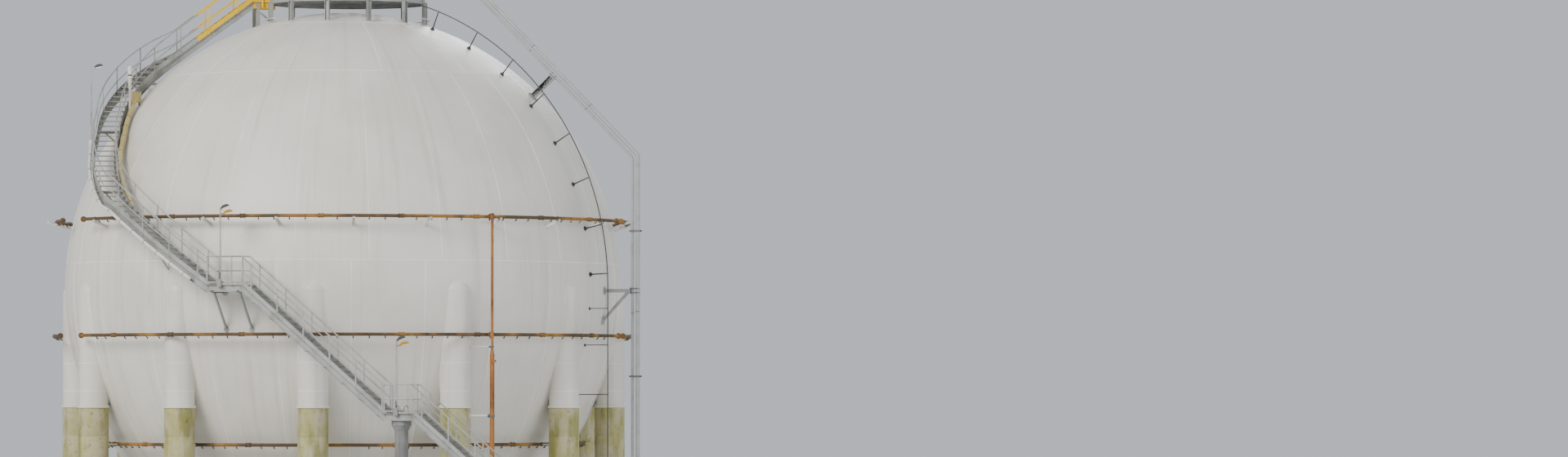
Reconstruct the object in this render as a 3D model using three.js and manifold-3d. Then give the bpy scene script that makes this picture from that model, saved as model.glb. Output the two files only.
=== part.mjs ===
// Spherical gas tank on twelve legs, with its winding stair, top platform,
// fire-water rings and relief pipes. Millimetres, +Z up. Everything is laid
// out from the centre of the sphere, and the whole is then set down so that
// the middle of its footprint is the origin, at ground level.
import * as THREE from 'three';
import { mergeVertices } from 'three/addons/utils/BufferGeometryUtils.js';
import Module from 'manifold-3d';

// Driving dimensions
const SPHERE = { radius: 10800, plate: 45, step: 9, innerStep: 18 };
const GROUND = -12600;
const GAP = 0.3;
// latitudes of the girth seams, degrees
const SEAM = { belt: 4.93, crown: 49.6 };
const LEG = {
  count: 12, first: -6.2, circle: 10420, radius: 570, baseRadius: 580, sides: 12,
  collar: -4560, collarRadius: 620, collarHeight: 90,
  capLow: -50, capHigh: 250, capInner: 10797, foot: 800, footPlate: 50,
};
const BRACE = { radius: 60, top: -6100, bottom: -12150, sides: 6 };
const RING = {
  pipe: 62, sides: 6, step: 9, flange: 115, flangeThickness: 44,
  arcs: [[-63, 71], [74.5, 178], [181, 284]],
  upper: { radius: 11120, height: 2600 }, lower: { radius: 11200, height: -1840 },
  inner: { radius: 9400, height: -6000 },
};
const ARM = { spacing: 15, first: 2, width: 100, depth: 70, reach: 11480, shortReach: 11200, slope: 0.36 };
const RISER = {
  azimuths: [29.2, 119.2, 239.2], radius: 11440, pipe: 52, lowerPipe: 90, sides: 8,
  reducer: -2400, taper: 200, hoseTap: -2840, armHeights: [-2300, -4900], armRadius: 40,
};
const LINE = {
  azimuth: 61, radius: 11550, pipe: 28, sides: 6, top: 73, wallRoot: 9200,
  standOffs: 8, firstStandOff: 68.7, standOffStep: 9.43, wallStandOffs: [-800, -2200, -4100],
};
const RELIEF = {
  azimuth: 68.5, pipe: 85, vent: 55, apart: 215, top: 11360, start: 2300, bend: 5600, foot: 11930,
  sides: 8, postFoot: 7430, bracket: -100,
};
// the platform stands a little to the right of the sphere's axis
const DECK = {
  x: 160, top: 11250, radius: 3040, plate: 50, beam: 240, beamWidth: 140, sides: 32,
  legs: {
    azimuths: [-75, -45, -15, 15, 45, 75, 105, 135, 165, 195, 225], circle: 3100, half: 80, head: 11150,
  },
  rail: { radius: 2990, from: -92, to: 246.5, step: 11.4 },
  railPosts: [-91.5, -49, -19, 10.5, 40, 59, 76, 106, 136, 166, 196, 211, 227, 246],
};
const CANOPY = {
  low: -640, high: 3270, eaves: 160, half: 1100, underside: 1620, thickness: 190, post: 80,
  posts: [[-456, -900], [-456, 950], [1275, -1000], [1275, 950], [2330, -600], [2330, 950]],
  thinPost: [2880, 300],
};
const RAIL = { height: 1070, pipe: 22, postDepth: 25, postWidth: 12, postDrop: 88 };
// The line of a flight joins the floors that it leads to. Its stringers reach from low
// under that line to high over it, and each tread is level with the line's higher end.
const STAIR = {
  inner: 11230, width: 900, rise: 200, stringer: 80, low: 280, high: 205, edge: 265,
  tread: 40, going: 236.7, tangent: -21.5, slope: 1.361, spiralStart: -25,
  upright: 3050, close: 5800, closeRadius: 11124, landing: 1120, midHalf: 680, bendEvery: 3,
  posts: { straight: [1.7, 4.42], lower: [1.2, 4.2], upper: [1.1, 4.1] },
};
// places on the winding flight, counted in treads
const LAMP = { station: 29, out: 210, spacing: 190 };
const BEACON = { station: 34, inset: -120, post: 60, head: 87, low: 1410, high: 1750 };
// cable ducts along the winding flight: places are a station, a distance in from the edge
// and a lift, and the first list belongs to the lower half of the flight
const INNER_DUCT = {
  side: 0, radius: 100, clips: [[18, 25], [31]],
  places: [[[15, -160, -50], [19, -160, -50], [23, -160, -50], [28, -160, -50]],
    [[28.002, -160, -50], [31, -160, -50], [34, -160, -20], [35.4, -160, 150]]],
};
const OUTER_DUCT = {
  side: 1, radius: 65, clips: [[5, 16, 25], []],
  places: [[[2, -110, -180], [6, -110, -180], [10, -110, -180], [14, -110, -180], [18, -110, -180],
    [22, -110, -180], [26, -120, -180], [28, -180, -180]], [[28.002, -180, -180], [29, -210, -180]]],
};
const JUNCTION_BOX = { from: 35, to: 37, inset: [-60, -260], low: 160, high: 570 };
const PEDESTAL = { shaft: 250, rim: 370, rimHeight: 170, taper: 240, sides: 16 };

const wasm = await Module();
wasm.setup();
const rad = THREE.MathUtils.degToRad;
const V = (x, y, z) => new THREE.Vector3(x, y, z);
const UP = V(0, 0, 1);
// azimuth 0 is the near side (-Y), and it grows towards +X
const polar = (azimuth, radius, z) =>
  V(radius * Math.sin(rad(azimuth)), -radius * Math.cos(rad(azimuth)), z);

// Solids

function solid(geometry) {
  const plain = geometry.clone();
  plain.deleteAttribute('normal');
  plain.deleteAttribute('uv');
  const merged = mergeVertices(plain, 1e-2);
  const index = Array.from(merged.index.array);
  const at = merged.attributes.position;
  let volume = 0;
  const kept = [];
  for (let i = 0; i < index.length; i += 3) {
    const [a, b, c] = index.slice(i, i + 3);
    if (a === b || b === c || c === a) continue;
    kept.push(a, b, c);
    const [p, q, r] = [a, b, c].map((k) => new THREE.Vector3().fromBufferAttribute(at, k));
    volume += p.dot(q.cross(r));
  }
  if (volume < 0) kept.reverse();
  return new wasm.Manifold(new wasm.Mesh({
    numProp: 3, vertProperties: new Float32Array(at.array), triVerts: new Uint32Array(kept),
  }));
}

const join = (solids) => solids.reduce((sum, next) => sum.add(next));

function box(low, high) {
  const size = high.clone().sub(low);
  const geometry = new THREE.BoxGeometry(size.x, size.y, size.z);
  return solid(geometry.translate((low.x + high.x) / 2, (low.y + high.y) / 2, (low.z + high.z) / 2));
}

// a straight round bar from a to b, which may taper
function rod(a, b, radius, sides = 8, endRadius = radius) {
  const along = b.clone().sub(a);
  const geometry = new THREE.CylinderGeometry(endRadius, radius, along.length(), sides);
  geometry.applyQuaternion(new THREE.Quaternion().setFromUnitVectors(V(0, 1, 0), along.normalize()));
  return solid(geometry.translate((a.x + b.x) / 2, (a.y + b.y) / 2, (a.z + b.z) / 2));
}

// an upright round bar whose facets follow its place round the tank
function column(azimuth, distance, low, high, radius, sides) {
  const geometry = new THREE.CylinderGeometry(radius, radius, high - low, sides);
  geometry.rotateX(Math.PI / 2).rotateZ(rad(azimuth));
  const at = polar(azimuth, distance, (low + high) / 2);
  return solid(geometry.translate(at.x, at.y, at.z));
}

// a straight flat bar from a to b, with its width level and its depth upright
function beam(a, b, width, depth) {
  const along = b.clone().sub(a).normalize();
  const side = new THREE.Vector3().crossVectors(along, UP);
  if (side.length() < 1e-6) side.set(1, 0, 0);
  side.normalize();
  const above = new THREE.Vector3().crossVectors(side, along);
  const geometry = new THREE.BoxGeometry(a.distanceTo(b), width, depth);
  geometry.applyMatrix4(new THREE.Matrix4().makeBasis(along, side, above));
  return solid(geometry.translate((a.x + b.x) / 2, (a.y + b.y) / 2, (a.z + b.z) / 2));
}

// a solid of revolution about the vertical line through at
function turned(profile, sides, at = V(0, 0, 0)) {
  const geometry = new THREE.LatheGeometry(profile.map(([r, z]) => new THREE.Vector2(r, z)), sides);
  return solid(geometry.rotateX(Math.PI / 2).translate(at.x, at.y, at.z));
}

// a round tube through points
function tube(points, radius, sides, steps) {
  const section = new THREE.Shape();
  for (let i = 0; i < sides; i++) {
    const turn = (2 * Math.PI * i) / sides;
    const [x, y] = [radius * Math.cos(turn), radius * Math.sin(turn)];
    if (i === 0) section.moveTo(x, y); else section.lineTo(x, y);
  }
  const extrudePath = new THREE.CatmullRomCurve3(points);
  return solid(new THREE.ExtrudeGeometry(section, { steps, extrudePath, bevelEnabled: false }));
}

// a closed skin over rings of equally many points, with flat ends
function loft(rings) {
  const count = rings[0].length;
  const positions = rings.flat().flatMap((p) => [p.x, p.y, p.z]);
  const index = [];
  for (let k = 0; k + 1 < rings.length; k++) {
    for (let i = 0; i < count; i++) {
      const [a, b] = [k * count + i, k * count + ((i + 1) % count)];
      index.push(a, b, b + count, a, b + count, a + count);
    }
  }
  const last = (rings.length - 1) * count;
  for (let i = 1; i + 1 < count; i++) {
    index.push(0, i + 1, i, last, last + i, last + i + 1);
  }
  const geometry = new THREE.BufferGeometry();
  geometry.setAttribute('position', new THREE.Float32BufferAttribute(positions, 3));
  geometry.setIndex(index);
  return solid(geometry);
}

// a level slab over a polygon
const slab = (corners, low, high) =>
  loft([low, high].map((z) => corners.map((p) => V(p.x, p.y, z))));

const model = new THREE.Group();
const FINISH = {
  paint: ['#dcd8ce', 0.55, 0.1],
  galvanised: ['#9d9e9a', 0.55, 0.4],
  yellow: ['#d8b400', 0.5, 0.1],
  fireWater: ['#66432a', 0.75, 0.3],
  pipe: ['#9a9c9e', 0.5, 0.6],
  concrete: ['#7c7f84', 0.9, 0],
  dark: ['#3a3a3c', 0.6, 0.3],
};

function add(name, finish, ...solids) {
  const { vertProperties, triVerts } = join(solids).getMesh();
  const geometry = new THREE.BufferGeometry();
  geometry.setAttribute('position', new THREE.BufferAttribute(new Float32Array(vertProperties), 3));
  geometry.setIndex(new THREE.BufferAttribute(new Uint32Array(triVerts), 1));
  geometry.computeVertexNormals();
  const [color, roughness, metalness] = FINISH[finish];
  const material = new THREE.MeshStandardMaterial({ color, roughness, metalness });
  const mesh = new THREE.Mesh(geometry, material);
  mesh.name = name;
  model.add(mesh);
}

// Shell: two crowns and two courses of plates, which meet at the girth seams

function meridian(radius, from, to, step) {
  const count = Math.max(1, Math.round(Math.abs(to - from) / step));
  return Array.from({ length: count + 1 }, (_, i) => {
    const latitude = rad(from + ((to - from) * i) / count);
    return [radius * Math.cos(latitude), radius * Math.sin(latitude)];
  });
}

const SIDES = 360 / SPHERE.step;
const SEAM_GAP = THREE.MathUtils.radToDeg(GAP / SPHERE.radius);

function course(low, high) {
  const { radius, plate, step, innerStep } = SPHERE;
  const pole = (latitude) => Math.abs(latitude) === 90;
  const [from, to] = [pole(low) ? low : low + SEAM_GAP / 2, pole(high) ? high : high - SEAM_GAP / 2];
  const outer = meridian(radius, from, to, step);
  const inner = meridian(radius - plate, to, from, innerStep);
  for (const line of [outer, inner]) {
    for (const point of line) if (point[0] < 1e-3) point[0] = 0;
  }
  const whole = [...outer, ...inner];
  return turned(pole(low) || pole(high) ? closeOnAxis(whole) : [...whole, whole[0]], SIDES);
}

// a crown's profile starts and ends on the axis
function closeOnAxis(profile) {
  const onAxis = profile.findIndex(([r], i) => r === 0 && profile[(i + 1) % profile.length][0] === 0);
  return [...profile.slice(onAxis + 1), ...profile.slice(0, onAxis + 1)];
}

// the whole ball, with the same facets as the shell
function ball(radius) {
  const seams = [-90, -SEAM.crown, SEAM.belt, SEAM.crown, 90];
  const profile = seams.slice(1).flatMap((to, i) =>
    meridian(radius, seams[i], to, SPHERE.step).slice(i ? 1 : 0));
  profile[0][0] = 0;
  profile[profile.length - 1][0] = 0;
  return turned(profile, SIDES);
}

const KEEP_OUT = ball(SPHERE.radius + GAP);
const offShell = (body) => body.subtract(KEEP_OUT);

add('shell_bottom_crown', 'paint', course(-90, -SEAM.crown));
add('shell_belt_course', 'paint', course(-SEAM.crown, SEAM.belt));
add('shell_upper_course', 'paint', course(SEAM.belt, SEAM.crown));
add('shell_top_crown', 'paint', course(SEAM.crown, 90));

// Legs: steel above the collar and fireproofed below it, let into the belt course

const legAzimuth = (k) => LEG.first + (360 / LEG.count) * k;
const legAxis = (k, z) => polar(legAzimuth(k), LEG.circle, z);

function leg(k) {
  const cut = LEG.collar - LEG.collarHeight / 2;
  const stretch = (low, high, radius) =>
    column(legAzimuth(k), LEG.circle, low, high, radius, LEG.sides);
  const whole = join([
    stretch(cut, LEG.capHigh * 3, LEG.radius),
    stretch(cut, cut + LEG.collarHeight, LEG.collarRadius),
    stretch(GROUND, cut, LEG.baseRadius),
    stretch(GROUND, GROUND + LEG.footPlate, LEG.foot),
  ]);
  // the sloping cap rises from the outer edge of the leg to the shell
  const out = polar(legAzimuth(k), 1, 0);
  const edge = out.clone().multiplyScalar(LEG.circle + LEG.radius).setZ(LEG.capLow);
  const head = out.clone().multiplyScalar(LEG.capInner).setZ(LEG.capHigh);
  const rise = head.clone().sub(edge).normalize();
  const normal = out.clone().multiplyScalar(rise.z).setZ(-rise.dot(out));
  const half = LEG.foot * 2;
  const cutter = new THREE.BoxGeometry(half * 2, half * 2, half * 2);
  const side = new THREE.Vector3().crossVectors(rise, normal);
  cutter.applyMatrix4(new THREE.Matrix4().makeBasis(rise, side, normal));
  const centre = edge.clone().addScaledVector(normal, half);
  return offShell(whole.subtract(solid(cutter.translate(centre.x, centre.y, centre.z))));
}

for (let k = 0; k < LEG.count; k++) add(`leg_${k + 1}`, 'paint', leg(k));

// Cross bracing between neighbouring legs

function crossBrace(k) {
  const cross = join([[0, 1], [1, 0]].map(([high, low]) =>
    rod(legAxis(k + high, BRACE.top), legAxis(k + low, BRACE.bottom), BRACE.radius, BRACE.sides)));
  // the ends are cut square to the flats of the two legs
  const flat = LEG.baseRadius * Math.cos(Math.PI / LEG.sides) + GAP;
  const [from, to] = [legAxis(k, 0), legAxis(k + 1, 0)];
  const along = to.clone().sub(from).normalize();
  const [low, high] = [from.clone().addScaledVector(along, flat), to.clone().addScaledVector(along, -flat)];
  return cross.intersect(beam(low.setZ((BRACE.top + BRACE.bottom) / 2),
    high.setZ((BRACE.top + BRACE.bottom) / 2), 400, -GROUND));
}

for (let k = 0; k < LEG.count; k++) add(`cross_brace_${k + 1}`, 'paint', crossBrace(k));

// Fire-water rings: the outer two are three arcs each, with blind flanges at their ends

function arc(ring, from, to, pipe = RING.pipe) {
  const count = Math.round((to - from) / RING.step);
  const points = Array.from({ length: count + 1 }, (_, i) =>
    polar(from + ((to - from) * i) / count, ring.radius, ring.height));
  return tube(points, pipe, RING.sides, count);
}

function blindFlange(ring, azimuth, way) {
  const at = polar(azimuth, ring.radius, ring.height);
  const along = polar(azimuth + 90, way * RING.flangeThickness, 0);
  return rod(at.clone().addScaledVector(along, -1), at.clone().add(along), RING.flange, 8);
}

function withEnds(ring, [from, to]) {
  return [arc(ring, from, to), blindFlange(ring, from, 1), blindFlange(ring, to, 1)];
}

// a sloping arm from the shell out under the pipe
function ringArm(azimuth) {
  const { radius, height } = RING.upper;
  const level = (r) => height - RING.pipe - ARM.depth / 2 + (r - radius) * ARM.slope;
  const start = SPHERE.radius * 0.955;
  // the arms on the near side stop under the pipe, clear of the stair
  const reach = Math.abs(azimuth) < 75 ? ARM.shortReach : ARM.reach;
  return offShell(beam(polar(azimuth, start, level(start)), polar(azimuth, reach, level(reach)),
    ARM.width, ARM.depth + 40));
}

function armsOf([from, to]) {
  const arms = [];
  for (let azimuth = ARM.first - 90; azimuth < to - 2; azimuth += ARM.spacing) {
    if (azimuth > from + 2) arms.push(ringArm(azimuth));
  }
  return arms;
}

// short brackets from a ring to the legs that it passes
function legBrackets(ring, isInside, reaches = () => true) {
  const brackets = [];
  for (let turn = -1; turn <= 1; turn++) {
    for (let k = 0; k < LEG.count; k++) {
      const azimuth = legAzimuth(k) + 360 * turn;
      if (!reaches(azimuth)) continue;
      const bracket = beam(legAxis(k, ring.height), polar(azimuth, ring.radius, ring.height), 90, 90);
      const radius = (isInside ? LEG.baseRadius : LEG.radius) + GAP * 2;
      brackets.push(bracket.subtract(
        column(legAzimuth(k), LEG.circle, GROUND, 0, radius, LEG.sides)));
    }
  }
  return brackets;
}

// the riser stands outside the rings and feeds each by a short branch, and it has a hose
// coupling with a handle beside it
function riser(azimuth) {
  const at = (z, r = RISER.radius) => polar(azimuth, r, z);
  const { pipe, lowerPipe, reducer, taper, hoseTap, sides } = RISER;
  const flange = (z, radius) => rod(at(z - 22), at(z + 22), radius, 8);
  const feed = (ring) => rod(at(ring.height), at(ring.height, ring.radius + RING.pipe * 0.93), pipe, sides);
  const k = Math.round((azimuth - LEG.first) / 30);
  const arms = RISER.armHeights.map((z) => {
    const radius = z < LEG.collar ? LEG.baseRadius : LEG.radius;
    return beam(legAxis(k, z), at(z), RISER.armRadius * 2, RISER.armRadius * 2)
      .subtract(column(legAzimuth(k), LEG.circle, z - 500, z + 300, radius + GAP * 2, LEG.sides));
  });
  return [
    rod(at(GROUND), at(reducer - taper), lowerPipe, sides),
    rod(at(reducer - taper), at(reducer), lowerPipe, sides, pipe),
    rod(at(reducer), at(RING.upper.height + 90), pipe, sides),
    flange(RING.upper.height + 90, 90), flange(GROUND + 22, 180),
    rod(at(hoseTap), at(hoseTap).add(polar(azimuth - 15, 170, 0)), 72, 8),
    rod(at(hoseTap), at(hoseTap).add(polar(azimuth + 90, 160, 0)), 40, 6),
    feed(RING.upper), feed(RING.lower), feed(RING.inner), ...arms,
  ];
}

RING.arcs.forEach((span, n) => {
  const within = (azimuth) => azimuth > span[0] + 3 && azimuth < span[1] - 3;
  add(`fire_water_upper_arc_${n + 1}`, 'fireWater', ...withEnds(RING.upper, span), ...armsOf(span));
  add(`fire_water_lower_arc_${n + 1}`, 'fireWater',
    ...withEnds(RING.lower, span), ...legBrackets(RING.lower, false, within));
  add(`fire_water_riser_${n + 1}`, 'fireWater', ...riser(RISER.azimuths[n]));
});

function innerRing() {
  const { radius, height } = RING.inner;
  const profile = Array.from({ length: RING.sides + 1 }, (_, i) => {
    const turn = (2 * Math.PI * (i % RING.sides)) / RING.sides;
    return [radius + RING.pipe * Math.cos(turn), height + RING.pipe * Math.sin(turn)];
  });
  return turned(profile, 30);
}

add('fire_water_inner_ring', 'fireWater', innerRing(),
  ...legBrackets(RING.inner, true, (azimuth) => azimuth > -180 && azimuth <= 180));

// Conductor line down a meridian, on stand-offs

function meridianLine() {
  const { azimuth, radius, pipe, sides, top, wallRoot } = LINE;
  const at = (latitude, r) => polar(azimuth, r * Math.cos(rad(latitude)), r * Math.sin(rad(latitude)));
  const round = Array.from({ length: 13 }, (_, i) => at(top * (1 - i / 12), radius));
  const pieces = [tube(round, pipe, sides, 12)];
  const down = polar(azimuth, radius, 0);
  pieces.push(rod(V(down.x, down.y, 60), V(down.x, down.y, GROUND), pipe, sides));
  for (let i = 0; i < LINE.standOffs; i++) {
    const latitude = LINE.firstStandOff - LINE.standOffStep * i;
    pieces.push(offShell(rod(at(latitude, SPHERE.radius * 0.98), at(latitude, radius), 25, 4)));
  }
  for (const z of LINE.wallStandOffs) {
    pieces.push(offShell(rod(polar(azimuth, wallRoot, z), polar(azimuth, radius, z), 25, 4)));
  }
  return pieces;
}

add('conductor_line', 'dark', ...meridianLine());

// Relief and vent pipes from the platform over the shoulder and down

const reliefAt = (r, z) => polar(RELIEF.azimuth, r, z);

// a bent pipe in one upright plane, with mitred corners
function pipeRun(points, radius, sides, normal) {
  return loft(points.map((p, i) => {
    const before = i ? p.clone().sub(points[i - 1]).normalize() : null;
    const after = i + 1 < points.length ? points[i + 1].clone().sub(p).normalize() : null;
    const along = (before || after).clone().add(after || before).normalize();
    const spread = 1 / along.dot(before || after);
    const out = new THREE.Vector3().crossVectors(normal, along);
    return Array.from({ length: sides }, (_, k) => {
      const turn = (2 * Math.PI * (k + 0.5)) / sides;
      return p.clone().addScaledVector(normal, radius * Math.cos(turn))
        .addScaledVector(out, radius * spread * Math.sin(turn));
    });
  }));
}

function reliefPipe(radius, offset) {
  const { start, bend, top, foot } = RELIEF;
  const shift = offset * Math.tan(rad(22.5));
  const low = top + bend - foot;
  const points = [
    [start, top + offset], [bend + shift, top + offset],
    [foot + offset, low + shift], [foot + offset, GROUND],
  ].map(([r, z]) => reliefAt(r, z));
  return pipeRun(points, radius, RELIEF.sides, polar(RELIEF.azimuth + 90, 1, 0));
}

// two clamps hold the pair together
const between = { top: RELIEF.top + RELIEF.apart / 2, foot: RELIEF.foot + RELIEF.apart / 2 };
add('relief_pipes', 'pipe', reliefPipe(RELIEF.vent, 0), reliefPipe(RELIEF.pipe, RELIEF.apart),
  beam(reliefAt(4700, between.top), reliefAt(4760, between.top), 60, 300),
  beam(reliefAt(between.foot - 160, -7000), reliefAt(between.foot + 160, -7000), 60, 60));

// from the middle of the lower pipe to the flat that rests on its supports
const seat = RELIEF.vent * Math.cos(Math.PI / RELIEF.sides) + GAP;

function reliefPost() {
  const z = RELIEF.postFoot;
  const r = Math.sqrt(SPHERE.radius ** 2 - z ** 2);
  const out = reliefAt(r, z).normalize();
  const line = (RELIEF.top + RELIEF.bend) / Math.SQRT2 - seat;
  const at = (distance) => out.clone().multiplyScalar(distance);
  const reach = line / Math.cos(Math.atan2(z, r) - Math.PI / 4);
  return [
    offShell(rod(at(SPHERE.radius * 0.99), at(reach - 90), 110, 8)),
    offShell(rod(at(SPHERE.radius * 0.99), at(SPHERE.radius + 60), 210, 8)),
    rod(at(reach - 130), at(reach - 12), 150, 8),
  ];
}

add('relief_pipe_post', 'galvanised', ...reliefPost());

function reliefBracket() {
  const z = RELIEF.bracket;
  const face = RELIEF.foot - seat;
  return [
    offShell(beam(reliefAt(10000, z), reliefAt(face, z), 120, 140)),
    beam(reliefAt(face - 60, z), reliefAt(face, z), 300, 240),
    offShell(beam(reliefAt(face - 120, z - 40), reliefAt(10000, z - 1700), 90, 90)),
  ];
}

add('relief_pipe_bracket', 'galvanised', ...reliefBracket());

// Stair. A station is the height of a flight's line at one nosing, with its inner and outer edge

// the plan radius of the winding flight's inner edge: upright past the fire-water ring,
// and then closing in on the shell
function innerRadius(z) {
  const { inner, upright, close, closeRadius } = STAIR;
  if (z <= upright) return inner;
  const extra = Math.hypot(inner, upright) - closeRadius;
  const around = closeRadius + extra * Math.max(0, 1 - (z - upright) / (close - upright));
  return Math.sqrt(Math.max(around ** 2 - z ** 2, 1));
}

function spiralStations() {
  const { width, rise, slope } = STAIR;
  const parts = 24;
  const stations = [];
  let azimuth = rad(STAIR.spiralStart);
  let straight = null;
  let edge = V(0, 0, 0);
  const risers = Math.round(DECK.top / rise);
  const step = DECK.top / risers / parts;
  for (let i = 0; i <= risers * parts; i++) {
    const z = i * step;
    const r = innerRadius(z);
    const inward = (innerRadius(z + step) - r) / step;
    const out = V(Math.sin(azimuth), -Math.cos(azimuth), 0);
    let along = straight;
    if (!straight) {
      const turnRate = Math.sqrt(Math.max(slope ** 2 - inward ** 2, 0));
      const round = V(-Math.cos(azimuth), -Math.sin(azimuth), 0);
      along = round.multiplyScalar(turnRate).addScaledVector(out, inward).normalize();
      edge = out.clone().multiplyScalar(r);
      azimuth -= (turnRate / r) * step;
      if (slope + inward < 0.01) straight = along.clone();
    }
    if (i % parts === 0) {
      const across = V(-along.y, along.x, 0);
      stations.push({ z, inner: edge.clone(), outer: edge.clone().addScaledVector(across, width), along });
    }
    if (straight) edge = edge.clone().addScaledVector(straight, slope * step);
  }
  return stations;
}

const tangent = {
  along: polar(STAIR.tangent + 90, 1, 0),
  out: polar(STAIR.tangent, 1, 0),
};

// a point of the straight stair: t along it, and across from its inner edge
const straightAt = (t, across, z) => tangent.out.clone().multiplyScalar(STAIR.inner + across)
  .addScaledVector(tangent.along, t).setZ(z);

function straightStations(t, z, risers) {
  return Array.from({ length: risers + 1 }, (_, i) => ({
    z: z - i * STAIR.rise,
    inner: straightAt(t + i * STAIR.going, 0, 0),
    outer: straightAt(t + i * STAIR.going, STAIR.width, 0),
  }));
}

const mix = (a, b, share) => a.clone().lerp(b, share);
// an edge of a station moved in towards the other edge
const edgeOf = (s, side, inset) => {
  const [a, b] = side ? [s.outer, s.inner] : [s.inner, s.outer];
  return mix(a, b, inset / STAIR.width);
};

const isStraight = (stations) => stations[0].along === undefined;
// the stations that a long piece needs: the ends, and some between them where it winds
const bends = (stations) => stations.filter((_, i) =>
  i === 0 || i === stations.length - 1 || (!isStraight(stations) && i % STAIR.bendEvery === 0
    && stations[i - STAIR.bendEvery].along.distanceTo(stations[i + 1].along) > 1e-6));

// the station at a place on the line between two bends of a list
function stationAt(stations, place) {
  const last = stations.length - 1;
  const i = Math.min(Math.floor(place / STAIR.bendEvery) * STAIR.bendEvery, last - 1);
  const j = Math.min(i + STAIR.bendEvery, last);
  const [a, b] = [stations[i], stations[j]];
  const share = (place - i) / (j - i);
  return {
    z: THREE.MathUtils.lerp(a.z, b.z, share),
    inner: mix(a.inner, b.inner, share), outer: mix(a.outer, b.outer, share),
  };
}

function stringer(stations, side) {
  const rings = bends(stations).map((s) => {
    const [near, far] = [edgeOf(s, side, 0), edgeOf(s, side, STAIR.stringer)];
    const [low, high] = [s.z - STAIR.low, s.z + STAIR.high];
    return [near.clone().setZ(low), far.clone().setZ(low), far.clone().setZ(high), near.clone().setZ(high)];
  });
  return loft(rings);
}

// treads between neighbouring stations, each level with the higher one
function treads(stations) {
  const list = [];
  for (let i = 0; i + 1 < stations.length; i++) {
    const [upper, lower] = stations[i].z > stations[i + 1].z
      ? [stations[i], stations[i + 1]] : [stations[i + 1], stations[i]];
    const inset = STAIR.stringer / 2;
    const top = upper.z;
    const along = (side, share) => mix(edgeOf(upper, side, inset), edgeOf(lower, side, inset), share);
    const corners = [along(0, 0.08), along(1, 0.08), along(1, 0.95), along(0, 0.95)];
    list.push(slab(corners, top - STAIR.tread, top));
  }
  return list;
}

// a square bar along stations, at a lift above them
function railBar(stations, side, lift) {
  const { pipe } = RAIL;
  return loft(bends(stations).map((s) => {
    const [near, far] = [edgeOf(s, side, 0), edgeOf(s, side, pipe * 2)];
    const [low, high] = [s.z + lift - pipe, s.z + lift + pipe];
    return [near.clone().setZ(low), far.clone().setZ(low), far.clone().setZ(high), near.clone().setZ(high)];
  }));
}

// an upright post, thin across the stair
function post(foot, across, height) {
  const along = new THREE.Vector3().crossVectors(across, UP).multiplyScalar(RAIL.postDepth);
  const side = across.clone().multiplyScalar(RAIL.postWidth);
  const corners = [[1, 1], [1, -1], [-1, -1], [-1, 1]].map(([a, b]) =>
    foot.clone().addScaledVector(along, a).addScaledVector(side, b));
  return slab(corners, foot.z, foot.z + height);
}

// handrail, middle rail and posts along one side
function sideRail(stations, side, [first, every]) {
  const pieces = [RAIL.height, RAIL.height / 2].map((lift) => railBar(stations, side, lift));
  for (let place = first; place < stations.length - 1; place += every) {
    const s = stationAt(stations, place);
    const across = s.outer.clone().sub(s.inner).normalize();
    pieces.push(post(edgeOf(s, side, RAIL.pipe).setZ(s.z - RAIL.postDrop), across,
      RAIL.height + RAIL.postDrop));
  }
  return pieces;
}

function flight(stations, posts) {
  return [stringer(stations, 0), stringer(stations, 1), ...treads(stations),
    ...sideRail(stations, 0, posts), ...sideRail(stations, 1, posts)];
}

// a level landing between four corners: a floor with deep edges and a rail on both long
// sides, whose posts stand at shares of its length
function landing(corners, z, shares = [[0.03, 0.92], [0.03, 0.86]]) {
  const { stringer: thick, edge: deep, tread } = STAIR;
  const ends = [[corners[0], corners[1]], [corners[3], corners[2]]];
  const section = [[0, 0], [0, -deep], [thick, -deep], [thick, -tread], [-thick, -tread], [-thick, -deep],
    [-0.001, -deep], [-0.001, 0]];
  const pieces = [loft(ends.map(([inner, outer]) => section.map(([inset, lift]) => {
    const fromOuter = inset < 0;
    const [a, b] = fromOuter ? [outer, inner] : [inner, outer];
    return mix(a, b, Math.abs(inset) / inner.distanceTo(outer)).setZ(z + lift);
  })))];
  for (const side of [0, 1]) {
    const at = (share, inset) => {
      const [inner, outer] = ends[0].map((p, i) => mix(p, ends[1][i], share));
      const [a, b] = side ? [outer, inner] : [inner, outer];
      return mix(a, b, inset / inner.distanceTo(outer));
    };
    const stations = ends.map(([inner, outer]) => ({ z, inner, outer }));
    pieces.push(...[RAIL.height, RAIL.height / 2].map((lift) => railBar(stations, side, lift)));
    for (const share of shares[side]) {
      const across = at(share, 100).sub(at(share, 0)).normalize();
      pieces.push(post(at(share, RAIL.pipe).setZ(z - 80), across, RAIL.height + 80));
    }
  }
  return pieces;
}

const straightCorners = (t0, t1) => [
  straightAt(t0, 0, 0), straightAt(t0, STAIR.width, 0),
  straightAt(t1, STAIR.width, 0), straightAt(t1, 0, 0)];

function pedestal(t, z) {
  const { shaft, rim, rimHeight, taper, sides } = PEDESTAL;
  const top = z - STAIR.edge - GAP;
  const profile = [
    [0, GROUND], [shaft, GROUND], [shaft, top - rimHeight - taper],
    [rim, top - rimHeight], [rim, top], [0, top],
  ];
  return turned(profile, sides, straightAt(t, STAIR.width / 2, 0));
}

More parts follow.
